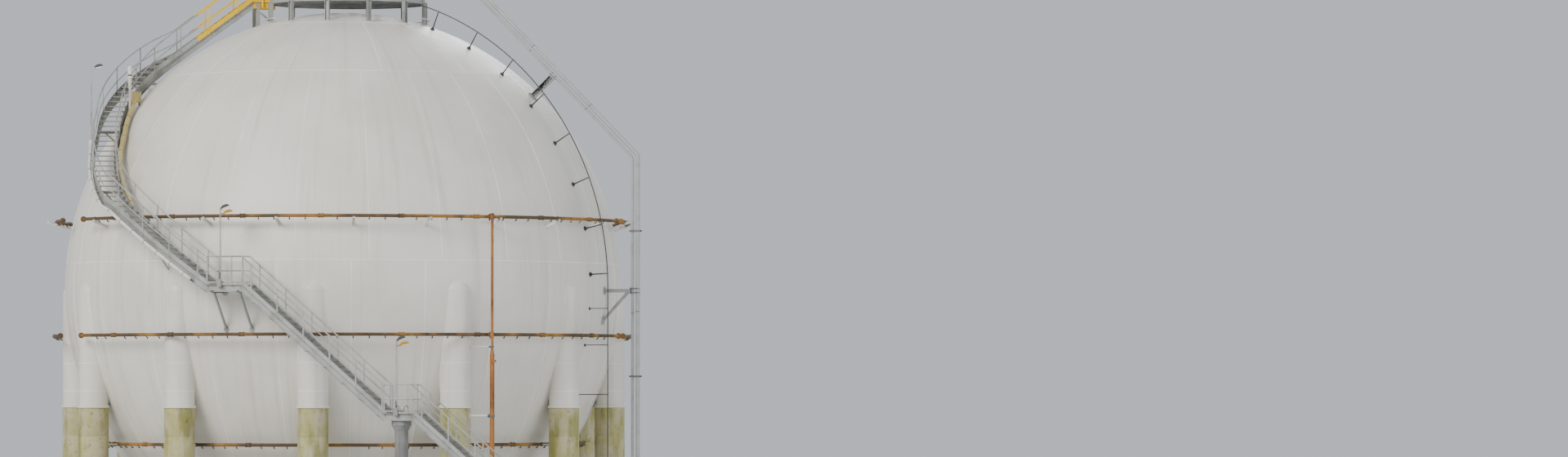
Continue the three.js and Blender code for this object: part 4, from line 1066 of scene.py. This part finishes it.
def lamp_pole(shape, foot, height, toward, lamps, slot=0):
    """A pole with floodlights at its head, and with a junction box at its foot where they are two."""
    head = foot + UP * height
    joint = [foot + UP * height * share for share in (0.45, 0.46)]
    shape.tube([foot, *joint, head], [0.036, 0.034, 0.027, 0.025], 14, slot)
    shape.disc(foot + UP * 0.02, UP, 0.07, 0.03, 16, slot)
    if lamps == 2:
        box = foot + UP * 0.17 + OUT * 0.07
        shape.bar(box - UP * 0.14, box + UP * 0.14, 0.16, 0.1, 1, OUT)
        shape.rod(box + UP * 0.1, box + UP * 0.4, 0.014, 8, 2)
    toward = toward.normalized()
    for i in range(lamps):
        at = head - UP * (0.06 + 0.19 * i)
        aim = (toward + UP * (0.4 if i == 0 else 0.22)).normalized()
        shape.rod(at, at + toward * 0.1, 0.018, 8, slot)
        shape.floodlight(at + aim * (0.18 if i == 0 else 0.3) + UP * 0.05, aim, 2 if i == 0 else 3, 4)
        if i:
            shape.floodlight(at + aim * 0.1, aim, 3, 4, 0.5)


LIT = ALONG * 0.9 - OUT * 0.4
# slots 0 zinc, 1 treads, 2 lamp housings, 3 ochre lamps, 4 lamp glass, 5 yellow, 6 white, 7 cream
STAIR_LOOKS = [ZINC, TREAD, LAMP, OCHRE, GLASS, YELLOW, WHITE, CREAM]
RISERS = (24, 20, 19)
t, level = MID_HALF, 0.0
flights, landings = [], []
for risers in RISERS:
    flights.append(straight_stations(t, level, risers))
    t += GOING * risers
    level -= RISE * risers
    if level > GROUND + RISE:
        landings.append((t, t + LANDING, level))
    t += LANDING

for i, stations in enumerate(flights):
    shape = Shape()
    flight(shape, stations, post_places(stations, 1.7, 4.42))
    if i == 2:
        # the foot of the stair stands on the ground
        shape.points = [Vector((p.x, p.y, max(p.z, GROUND))) for p in shape.points]
    shape.make(f"straight_stair_{3 - i}", STAIR_LOOKS, [f"stair_flight_{3 - i}"])

for i, (start, end, z) in enumerate(landings):
    shape = Shape()
    corners = [straight_at(*place) for place in ((start, 0), (start, WIDTH), (end, WIDTH), (end, 0))]
    landing(shape, corners, z, [(0.03, 0.92), (0.03, 0.86)])
    if i == 0:
        pole = straight_at((start + end) / 2 - 0.04, WIDTH - RAIL_INSET) + UP * (z - 0.1)
        lamp_pole(shape, pole, 2.84, LIT, 2)
        # a slack cable along the middle rail
        cable = [straight_at(start + 0.5 + 0.5 * s, WIDTH + 0.01)
                 + UP * (z + 0.18 + 0.12 * math.sin(3 * math.pi * s)) for s in steps(0, 1, 16)]
        shape.tube(cable, 0.012, 6, 2)
    shape.make(f"landing_{2 - i}", STAIR_LOOKS, [f"stair_landing_{2 - i}"])
    column = Shape()
    middle = straight_at((start + end) / 2, WIDTH / 2)
    # a round column that widens to its head
    profile = [(0.25, -0.41), (0.262, -0.36), (0.345, -0.2), (0.37, -0.17), (0.37, -0.012), (0.36, 0)]
    column.turned([(0.25, GROUND)] + [(r, z - 0.265 + drop) for r, drop in profile], middle, UP, 48)
    column.disc(middle + UP * (GROUND + 0.02), UP, 0.36, 0.04, 40)
    column.make(f"column_{2 - i}", [STONE], [f"stair_pedestal_{2 - i}"], "concrete")


def bracket(shape, inner_end, outer_end, z, drop, size=0.09, slot=0):
    """An arm from the shell, with a slanting strut below and a pad at each root."""
    span = inner_end - outer_end
    inward = Vector((span.x, span.y, 0)).normalized()
    channel = [(-0.5, 0.5), (0.5, 0.5), (0.5, 0.38), (-0.36, 0.38), (-0.36, -0.38), (0.5, -0.38),
               (0.5, -0.5), (-0.5, -0.5)]
    arm = (outer_end, 0, size)
    strut = (outer_end + inward * span.length * 0.25, drop * 1.35, size * 0.8)
    for end, fall, width in (arm, strut):
        end = end + UP * z
        way = (inner_end + inward * 0.9 + UP * (z - fall) - end).normalized()
        # stop at the skin of the shell
        b = end.dot(way)
        inside = b * b - end.length_squared + (RADIUS - 0.01) ** 2
        foot = end + way * (-b - math.sqrt(max(inside, 0)))
        side = way.cross(UP).normalized()
        shape.section([(p, side, side.cross(way)) for p in (foot, end)],
                      [(x * width, y * width) for x, y in channel], slot)
        out = foot.normalized()
        shape.disc(foot + out * 0.02, out, width * 1.5, 0.02, 20, slot)


# Middle landing, where the straight stair and the winding stair meet
spiral = spiral_stations()
UPPER_FROM, YELLOW_FROM = 29, 48
mid = Shape()
mid_corners = [spiral[0][1], spiral[0][2], straight_at(MID_HALF, WIDTH), straight_at(MID_HALF, 0)]
landing(mid, mid_corners, 0.0, [(0.09, 0.79), (0.03, 0.73)])
lamp_pole(mid, straight_at(-0.16, WIDTH - RAIL_INSET) - UP * 0.1, 2.98, LIT, 2)
for at in (-0.5, 0.535):
    bracket(mid, straight_at(at, 0), straight_at(at, WIDTH - 0.01), -0.255, 1.3)
mid.make("landing_3", STAIR_LOOKS, ["stair_landing_3"])


def spiral_bracket(shape, i):
    """A bracket below the winding flight, out to its outer edge."""
    lift, flat = spiral[i][0] - 0.255, spiral[i][2]
    shell = shell_radius(lift)
    bracket(shape, flat.normalized() * shell, flat, lift, flat.length - shell, slot=6)


def duct(shape, side, radius, places, clips):
    """A round cable duct through places of (station, inset, lift), with ring clamps on clips."""
    path = [edge_of(station_at(spiral, i), side, inset, lift) for i, inset, lift in places]
    shape.tube(path, radius, 16, 6 if side else 7)
    for i, inset, lift in places[1:-1:2]:
        at, ahead = (edge_of(station_at(spiral, j), side, inset, lift) for j in (i, i + 0.2))
        inside, outside = radius - 0.004, radius + 0.012
        ring = [(inside, -0.02), (outside, -0.02), (outside, 0.02), (inside, 0.02)]
        shape.turned(ring, at, (ahead - at).normalized(), 16)
    inset, lift = places[1][1:]
    for i in clips:
        shape.bar(edge_of(spiral[i], side, 0.02, lift), edge_of(spiral[i], side, inset, lift), 0.05, 0.05)


def beacon(shape):
    """An upright housing at the inner edge, fed by a bent pipe, and the box that the duct ends in."""
    s = spiral[34]
    at = edge_of(s, 0, -0.12)
    head = 1.36
    shape.turned([(0.045, -0.12), (0.045, 0.86), (0.07, 0.9), (0.07, 1.25), (0.105, 1.26), (0.105, 1.35),
                  (0.08, head)], at, UP, 20, 6)
    shape.turned([(0.08, head), (0.088, 1.365), (0.088, 1.395), (0.07, 1.41)], at, UP, 20, 2)
    shape.turned([(0.07, 1.41), (0.087, 1.43), (0.087, 1.7), (0.06, 1.74), (0.02, 1.75)], at, UP, 20, 6)
    bend = [at + UP * z + s[3] * x for x, z in ((0, 1.38), (0.19, 1.38), (0.19, 1.12), (0, 1.12))]
    shape.tube(rounded(bend, 0.07), 0.024, 10, 5)
    shape.bar(at - UP * 0.06, edge_of(s, 0, 0.02, -0.06), 0.06, 0.05)
    # the box and its lids
    a, b = (edge_of(spiral[i], 0, -0.16, spiral[35][0] + 0.365 - spiral[i][0]) for i in (35, 37))
    shape.bar(a, b, 0.2, 0.41, 7)
    shape.bar(a.lerp(b, 0.06), a.lerp(b, 0.94), 0.22, 0.35, 7)
    shape.rod(b - UP * 0.3, b - UP * 0.1, 0.03, 10)


def outer_lamp(shape):
    """A lamp on a pole outside the winding flight, with a box at the pole's foot."""
    s, height = spiral[29], 2.9
    foot = edge_of(s, 1, -0.21, -0.35)
    lamp_pole(shape, foot, height, LIT, 0)
    head = foot + UP * height
    shape.rod(head - UP * 0.03, head + Vector((0.18, 0, 0.1)), 0.018, 8)
    shape.floodlight(head + Vector((0.28, 0, 0.14)), Vector((0.97, 0, 0.24)), 2, 4)
    shape.bar(foot - UP * 0.08, foot + UP * 0.16, 0.15, 0.12, 6, OUT)
    for lift in (-0.06, 0.13):
        shape.bar(edge_of(s, 1, 0.02, lift), edge_of(s, 1, -0.24, lift), 0.05, 0.05)


lower = Shape()
flight(lower, spiral[:UPPER_FROM], post_places(spiral[:UPPER_FROM], 1.2, 4.2), False)
# the ducts inside and outside the winding flight
INNER_DUCT, OUTER_DUCT = 0.1, 0.065
duct(lower, 0, INNER_DUCT, [(i, -0.16, -0.05) for i in range(15, 29)], (18, 25))
duct(lower, 1, OUTER_DUCT,
     [(i, -0.11, -0.18) for i in range(2, 25)] + [(26, -0.12, -0.18), (28, -0.18, -0.18)], (5, 16, 25))
for i in (9, 19):
    spiral_bracket(lower, i)
lower.make("winding_stair_lower", STAIR_LOOKS, ["spiral_flight_lower"])

upper = Shape()
grey, yellow = spiral[UPPER_FROM - 1:YELLOW_FROM + 1], spiral[YELLOW_FROM:]
flight(upper, grey, post_places(grey, 1.1, 4.1), False)
flight(upper, yellow, post_places(yellow, 1.6, 4.1), False, 5)
duct(upper, 0, INNER_DUCT,
     [(i, -0.16, -0.05) for i in range(28, 34)] + [(34, -0.16, -0.02), (35.4, -0.16, 0.15)], (31,))
duct(upper, 1, OUTER_DUCT, [(28, -0.18, -0.18), (29, -0.21, -0.18)], ())
for i in (31, 41):
    spiral_bracket(upper, i)
beacon(upper)
outer_lamp(upper)
upper.make("winding_stair_upper", STAIR_LOOKS, ["spiral_flight_upper"])

# Platform

Y_AXIS = Vector((0, 1, 0))


def chord(inset, offset):
    """Half the deck's width at an offset from its middle."""
    return math.sqrt((DECK_RADIUS - inset) ** 2 - offset * offset)


def deck_bar(shape, y, lift, inset, width, depth, slot=0):
    """A bar across the deck, from rim to rim."""
    reach = chord(inset, y)
    shape.bar(on_deck(-reach, y, lift), on_deck(reach, y, lift), width, depth, slot)


def stair_head():
    """The level piece between the winding flight and the deck."""
    shape = Shape()
    inner_end, outer_end, along = spiral[-1][1:]

    def to_deck(p):
        """Moves p along the stair until it meets the deck's edge."""
        rel = p - Vector((DECK_X, 0, 0))
        b = rel.dot(along)
        return p + along * (-b - math.sqrt(b * b - rel.length_squared + (DECK_RADIUS + 0.005) ** 2))

    corners = [inner_end, outer_end, to_deck(outer_end), to_deck(inner_end)]
    landing(shape, corners, DECK_TOP, [(0.16, 0.8), (0.1, 0.83)], 5)
    for edge, other in ((inner_end, outer_end), (outer_end, inner_end)):
        at = edge.lerp(other, 0.096) + along * 0.19
        foot = on_crown(at, 0.02)
        out = foot.normalized()
        shape.bar(foot, at + UP * (DECK_TOP - 0.04), 0.14, 0.14, 0, along)
        shape.disc(foot + out * 0.03, out, 0.16, 0.02, 20)
    # a thin brace from the front post to the foot of the next leg
    shape.bar(inner_end + along * 0.28 + UP * (DECK_TOP - 0.45), deck_polar(-75, 3.1, -0.83), 0.05, 0.05, 1)
    # a pole, yellow up to the rail, with a lamp
    pole = inner_end + along * 0.37 + UP * (DECK_TOP - 0.2)
    shape.tube([pole, pole + UP * 1.3], 0.036, 14, 5)
    shape.tube([pole + UP * 1.3, pole + UP * 2.9], [0.03, 0.026], 14, 6)
    head = pole + UP * 2.84
    shape.rod(head, head + Vector((0.14, -0.06, 0)), 0.018, 8, 6)
    shape.floodlight(head + Vector((0.24, -0.1, 0.02)), Vector((0.9, -0.4, -0.35)).normalized(), 2, 4)
    shape.make("platform_stair_head", STAIR_LOOKS, ["stair_head"], "safety_yellow")


stair_head()


def deck():
    shape = Shape()
    rim = ((0.002, -0.05), (0.002, 0), (0.06, 0), (0.06, -0.05))
    shape.skin([[deck_polar(a, DECK_RADIUS - inset, lift) for a in full_turn(96, 360)]
                for inset, lift in rim], closed=True)
    # bearing bars, rods over them and flats below them
    for i in range(-58, 59):
        x = i * 0.05
        reach = chord(0.04, x)
        shape.bar(on_deck(x, -reach, -0.022), on_deck(x, reach, -0.022), 0.006, 0.04, 1)
    for i in range(-14, 15):
        deck_bar(shape, i * 0.2, -0.006, 0.04, 0.008, 0.01, 1)
    for i in range(-3, 4):
        deck_bar(shape, i * 0.8, -0.045, 0.05, 0.06, 0.008)
    shape.make("deck_grating", [ZINC, TREAD], ["platform_deck"])


deck()


def platform_leg(shape, azimuth):
    """An I-section leg with its head plate, foot pad and gussets."""
    out, across = polar(azimuth, 1), polar(azimuth + 90, 1)
    top = deck_polar(azimuth, 3.1, -0.1)
    foot = on_crown(top, 0.03)
    pad = foot.normalized()
    shape.i_beam(foot, top, 0.16, 0.144, 0.014, across)
    shape.bar(top, top + UP * 0.016, 0.18, 0.18, 0, out)
    shape.disc(foot + pad * 0.04, pad, 0.19, 0.025, 24, 2)
    for way in (-1, 1):
        corner = top + across * way * 0.03 - UP * 0.02
        gusset = [corner - out * x - UP * z for x, z in ((0, 0), (0.08, 0), (0.08, 0.12), (0, 0.12))]
        shape.skin([[p + across * side for p in gusset] for side in (0.005, -0.005)])


def platform_frame():
    shape = Shape()
    low, high, edge, sheet = -0.12, -0.0503, 0.09, 0.012
    outline = [(0, low), (0, high), (edge, high), (edge, high - sheet), (sheet, high - sheet),
               (sheet, low + sheet), (edge, low + sheet), (edge, low)]
    shape.skin([[deck_polar(a, DECK_RADIUS - inset, lift) for inset, lift in outline]
                for a in full_turn(96, 360)], closed=True)
    for y in (-2.2, -1.1, 0, 1.1, 2.2):
        deck_bar(shape, y, -0.086, 0.02, 0.012, 0.066)
        deck_bar(shape, y, -0.116, 0.02, 0.07, 0.008)
    for azimuth in range(-75, 226, 30):
        platform_leg(shape, azimuth)
    # a thin pipe along the legs on either side
    for start, end in ((-136, -60), (60, 136)):
        shape.tube([deck_polar(a, 3.2, -0.72) for a in steps(start, end, 24)], 0.02, 8, 2)
    shape.make("deck_frame", [ZINC, TREAD, PAINT], ["platform_frame"])


platform_frame()


def platform_rail():
    """Rails, toe strip and posts: grey, and yellow past an azimuth."""
    shape = Shape()
    radius, start, end, yellow = 2.99, -92, 246.5, 190.0
    strip = [(0.012, 0.015), (0.018, 0.015), (0.018, 0.115), (0.012, 0.115)]
    for a, b, slot in ((start, yellow, 0), (yellow, end, 2)):
        azimuths = steps(a, b, round((b - a) / 3))
        for lift, size in ((RAIL_HEIGHT, 0.022), (RAIL_HEIGHT / 2, 0.019)):
            shape.tube([deck_polar(s, radius, lift) for s in azimuths], size, 10, slot)
        shape.skin([[deck_polar(s, radius + x, lift) for x, lift in strip] for s in azimuths], slot)
    for azimuth in (-91.5, -49, -19, 10.5, 40, 59, 76, 106, 136, 166, 196, 211, 227, 246):
        slot = 2 if azimuth > yellow else 0
        foot = deck_polar(azimuth, radius, 0.0005)
        shape.rod(foot, foot + UP * RAIL_HEIGHT, 0.026 if slot else 0.019, 10, slot)
        shape.bar(foot, foot + UP * 0.012, 0.1, 0.08, slot, polar(azimuth, 1))
        shape.bolts(foot + UP * 0.014, UP, 0.036, 4, 0.007, 1)
    shape.make("deck_rail", [ZINC, BOLT, YELLOW], ["platform_rail"])


platform_rail()


def valve_canopy():
    """A thin roof with a deep edge all round, on I-section posts."""
    shape = Shape()
    low, high, eaves, deep, under, thick, sheet = -0.64, 3.27, 0.16, 1.1, 1.62, 0.19, 0.012
    end, ribs = high + eaves, 24

    def at(x, y, z=0.0):
        return on_deck(x, y, under + z)

    outline = [(low, thick), (end, thick), (high, 0), (low, 0)]
    for y in (-deep, deep - sheet):
        shape.skin([[at(x, side, z) for x, z in outline] for side in (y, y + sheet)])
    for foot, head, inward in ((low, low, sheet), (high, end, -sheet)):
        edge = ((foot, -deep, 0), (foot, deep, 0), (head, deep, thick), (head, -deep, thick))
        shape.skin([[at(x + offset, y, z) for x, y, z in edge] for offset in (0.0, inward)])
    trough, crest = thick - 0.03, thick - 0.002
    pitch = (end - low) / ribs
    for i in range(ribs):
        a, b = low + pitch * i, low + pitch * (i + 1)
        ridge = (a + b) / 2
        rib = [(a, trough), (ridge - 0.03, trough), (ridge - 0.015, crest), (ridge + 0.015, crest),
               (ridge + 0.03, trough), (b, trough)]
        strip = rib + [(x, z - 0.004) for x, z in reversed(rib)]
        shape.skin([[at(x, y, z) for x, z in strip] for y in (-deep + 0.01, deep - 0.01)])
    for x in (low + 0.2, 0.5, 1.275, 2.33, high - 0.1):
        shape.bar(at(x, -deep + 0.02, 0.08), at(x, deep - 0.02, 0.08), 0.06, 0.14)
    for y in (-0.93, 0.95):
        shape.bar(at(low + 0.02, y, 0.06), at(high - 0.02, y, 0.06), 0.07, 0.12)
    for x, y in ((-0.456, -0.9), (-0.456, 0.95), (1.275, -1.0), (1.275, 0.95), (2.33, -0.6), (2.33, 0.95)):
        foot, top = on_deck(x, y, 0.001), at(x, y, 0.03)
        shape.i_beam(foot, top, 0.15, 0.14, 0.012, Y_AXIS)
        shape.bar(foot, foot + UP * 0.02, 0.24, 0.24, 0, Y_AXIS)
        shape.bolts(foot + UP * 0.022, UP, 0.13, 4, 0.014, 1)
        shape.bar(top - UP * 0.16, top - UP * 0.12, 0.22, 0.22, 0, Y_AXIS)
        for way in (-1, 1):
            ends = (Vector((way * x, 0, z)) for x, z in ((0.26, -0.02), (0.07, -0.26)))
            shape.bar(*(top + end for end in ends), 0.05, 0.05)
    thin = on_deck(2.88, 0.3, 0.001)
    shape.rod(thin, at(2.88, 0.3, 0.02), 0.03, 12)
    shape.disc(thin + UP * 0.01, UP, 0.07, 0.018, 16)
    shape.make("valve_roof", [PIPE, BOLT], ["valve_canopy"], "pipe_grey")


valve_canopy()


def valve_manifold():
    """The valves: slot 0 pale paint, 1 bolts, 2 primer, 3 yellow, 4 grey."""
    shape = Shape()
    x_axis = Vector((1, 0, 0))
    low, vent, run = RELIEF["top"] + RELIEF["apart"] - DECK_TOP, RELIEF["top"] - DECK_TOP, 0.9
    line, pipes_end = -0.2, 2.2995

    def at(x, lift, y=line):
        return on_deck(x, y, lift)

    def plane(r, lift):
        return relief_at(r, DECK_TOP + lift)

    # the low run, turned down to the deck at its far end
    header = plane(0.548, low)
    shape.tube(rounded([at(-1.56, 0.002), at(-1.56, low), header], 0.16), 0.08, 20, 2)
    shape.flange(at(-1.56, 0.05), UP, 0.14, 0.02, slot=2)
    shape.rod(header, plane(pipes_end, low), RELIEF["pipe"], 20, 4)
    for r in (0.8, 2.22):
        shape.flange(plane(r, low), RELIEF_OUT, 0.15, 0.022, slot=4)
    for x in (-1.2, -0.45):
        shape.bar(at(x, 0.001), at(x, low - 0.06), 0.1, 0.012, 4)
        shape.bar(at(x, 0.001), at(x, 0.014), 0.2, 0.16, 4)
        shape.flange(at(x + 0.14, low), x_axis, 0.14, 0.02, slot=2)
    # valve with its wheel at the side
    valve, stem = -0.8, 0.86
    shape.turned([(0.06, 0), (0.06, 0.06), (0.13, 0.08), (0.17, 0.16), (0.17, 0.24), (0.13, 0.32),
                  (0.1, 0.34)], at(valve, low + 0.02))
    shape.flange(at(valve, 0.7), UP, 0.13, 0.018)
    shape.turned([(0.06, 0.7), (0.05, 0.78), (0.07, 0.8), (0.07, 0.92), (0.03, 0.94)],
                 at(valve, 0), UP, 16, 3)
    shape.rod(at(valve, stem), at(-1.11, stem), 0.018, 10, 1)
    shape.turned([(0.04, -0.2), (0.05, -0.1), (0.03, 0)], at(-0.9, stem), x_axis, 12)
    shape.wheel(at(-1.11, stem), x_axis, 0.155)
    # the upper run and its branch to the front
    shape.tube([at(-0.42, run), at(1.1, run)], 0.095, 24)
    for x in (-0.25, 0.02, 1.1):
        shape.flange(at(x, run), x_axis, 0.185, 0.03, 12)
    shape.disc(at(-0.44, run), x_axis, 0.17, 0.04)
    shape.rod(at(0.82, run), at(0.82, run, line - 0.22), 0.09, 20)
    shape.flange(at(0.82, run, line - 0.25), Y_AXIS, 0.185, 0.026, 12)
    shape.disc(at(0.82, run, line - 0.285), Y_AXIS, 0.12, 0.03)
    # its valve, with a wheel on top
    valve = -0.11
    shape.turned([(0.1, -0.12), (0.14, -0.06), (0.14, 0.06), (0.1, 0.12)], at(valve, run), x_axis)
    shape.turned([(0.07, 0.98), (0.09, 1.0), (0.09, 1.03), (0.05, 1.05), (0.045, 1.16), (0.03, 1.18)],
                 at(valve, 0), UP, 16, 3)
    shape.rod(at(valve, 1.1), at(valve, 1.3), 0.015, 8, 1)
    shape.wheel(at(valve, 1.27), UP, 0.18)
    shape.rod(at(valve, low), at(valve, run), 0.07, 20, 2)
    shape.flange(at(valve, 0.56), UP, 0.13, 0.02, slot=2)
    # tall branch and its safety valve
    branch = 0.317
    shape.rod(at(branch, low), at(branch, 1.2), 0.05, 16)
    shape.flange(at(branch, 1.17), UP, 0.11, 0.02)
    shape.turned([(0.07, 1.2), (0.11, 1.24), (0.11, 1.32), (0.07, 1.36), (0.055, 1.44), (0.06, 1.46),
                  (0.03, 1.5)], at(branch, 0), UP, 20, 2)
    shape.rod(at(branch, 1.28), at(0.5, 1.28), 0.05, 14)
    shape.flange(at(0.48, 1.28), x_axis, 0.09, 0.016)
    # relief valve whose bent outlet comes down to the vent
    elbow = plane(1.801, 0)
    path = rounded([plane(pipes_end, vent), plane(1.801, vent), elbow + UP * 1.34], 0.1)
    shape.tube(path, [RELIEF["vent"]] * 8 + [0.065], 16, 4)
    shape.flange(elbow + UP * 1.1, UP, 0.12, 0.02)
    shape.turned([(0.07, 1.12), (0.12, 1.18), (0.125, 1.26), (0.09, 1.32), (0.06, 1.34), (0.06, 1.42),
                  (0.04, 1.45)], elbow, UP, 20, 2)
    bend = [elbow + UP * z - RELIEF_OUT * r for r, z in ((0, 1.22), (0.26, 1.22), (0.3, 0.93))]
    shape.tube(rounded(bend, 0.1), 0.05, 14)
    shape.rod(plane(1.5, run), plane(1.15, run), 0.05, 14)
    shape.rod(plane(1.5, low), plane(1.5, run + 0.06), 0.05, 14)
    # actuator boxes with lids and feet
    for x, slot in ((0.13, 4), (0.62, 0)):
        corners = [at(x + across, 0, line + deep)
                   for across, deep in ((0, -0.18), (0.23, -0.18), (0.23, 0.1), (0, 0.1))]
        middle = sum(corners, Vector()) / 4
        shape.slab(corners, DECK_TOP + 0.03, DECK_TOP + 0.43, slot)
        shape.slab([c + (c - middle) * 0.08 for c in corners], DECK_TOP + 0.43, DECK_TOP + 0.45, slot)
        for c in corners:
            foot = c.lerp(middle, 0.2)
            shape.rod(foot + UP * 0.001, foot + UP * 0.04, 0.015, 8, 1)
    shape.make("valves", [WHITE, BOLT, BLUSH, YELLOW, PIPE], ["valve_manifold"], "pipe_grey")


valve_manifold()

nozzle = Shape()
for profile in ([(0.3, -10.76), (0.3, -11.0), (0.31, -11.02), (0.39, -11.05), (0.39, -11.1), (0.31, -11.1)],
                [(0.38, -11.106), (0.39, -11.112), (0.39, -11.155), (0.38, -11.16)],
                [(0.46, -10.795), (0.46, -10.82), (0.31, -10.83)]):
    nozzle.turned(profile, Vector(), UP, 40)
nozzle.bolts(Vector((0, 0, -11.04)), UP, 0.35, 16, 0.018, 1)
nozzle.make("bottom_outlet", [PIPE, BOLT], ["bottom_nozzle"], "pipe_grey")

# Floor, light and camera


def floor():
    reach = 400
    mesh = bpy.data.meshes.new("floor")
    corners = [(x * reach, y * reach, 0) for x, y in ((-1, -1), (1, -1), (1, 1), (-1, 1))]
    mesh.from_pydata(corners, [], [(0, 1, 2, 3)])
    look = Look("floor", "#d6d6d4", 0.8)
    look.patches("#cecece", 0.4, 0.4, 0.7, 0.05, 3)
    mesh.materials.append(look.done())
    piece = bpy.data.objects.new("floor", mesh)
    bpy.context.scene.collection.objects.link(piece)


floor()


def area_light(name, place, size, power, tint):
    """A round soft light that faces the sphere."""
    data = bpy.data.lights.new(name, "AREA")
    data.shape, data.size, data.energy, data.color = "DISK", size, power, tint
    lamp = bpy.data.objects.new(name, data)
    lamp.location = place
    lamp.rotation_euler = (CENTRE - Vector(place)).to_track_quat("-Z", "Y").to_euler()
    bpy.context.scene.collection.objects.link(lamp)


area_light("key", (-60, -70, 62), 45, 90000, (1.0, 0.97, 0.93))
area_light("fill", (80, -60, 30), 60, 30000, (0.93, 0.95, 1.0))
area_light("rim", (20, 90, 70), 50, 50000, (0.95, 0.97, 1.0))

world = bpy.context.scene.world or bpy.data.worlds.new("world")
bpy.context.scene.world = world
world.use_nodes = True
sky = world.node_tree.nodes["Background"].inputs
sky["Color"].default_value = (0.78, 0.82, 0.88, 1)
sky["Strength"].default_value = 0.75


def camera():
    """The photo's view: far off with a long lens, so that the tank stands left of the middle."""
    distance, below = 259.2, 4.04
    # in the photo's pixels: its size, the focal length, the sphere's middle and the level line
    width, height, focal, middle, level = 1920, 560, 8114.6, 420.4, 482
    data = bpy.data.cameras.new("camera")
    data.sensor_width = 36
    data.lens = focal / width * data.sensor_width
    data.clip_end = 2000
    piece = bpy.data.objects.new("camera", data)
    piece.location = CENTRE + Vector((0, -distance, -below))
    aim = Vector((width / 2 - middle, focal, level - height / 2)).normalized()
    piece.rotation_euler = aim.to_track_quat("-Z", "Y").to_euler()
    bpy.context.scene.collection.objects.link(piece)
    bpy.context.scene.camera = piece


camera()
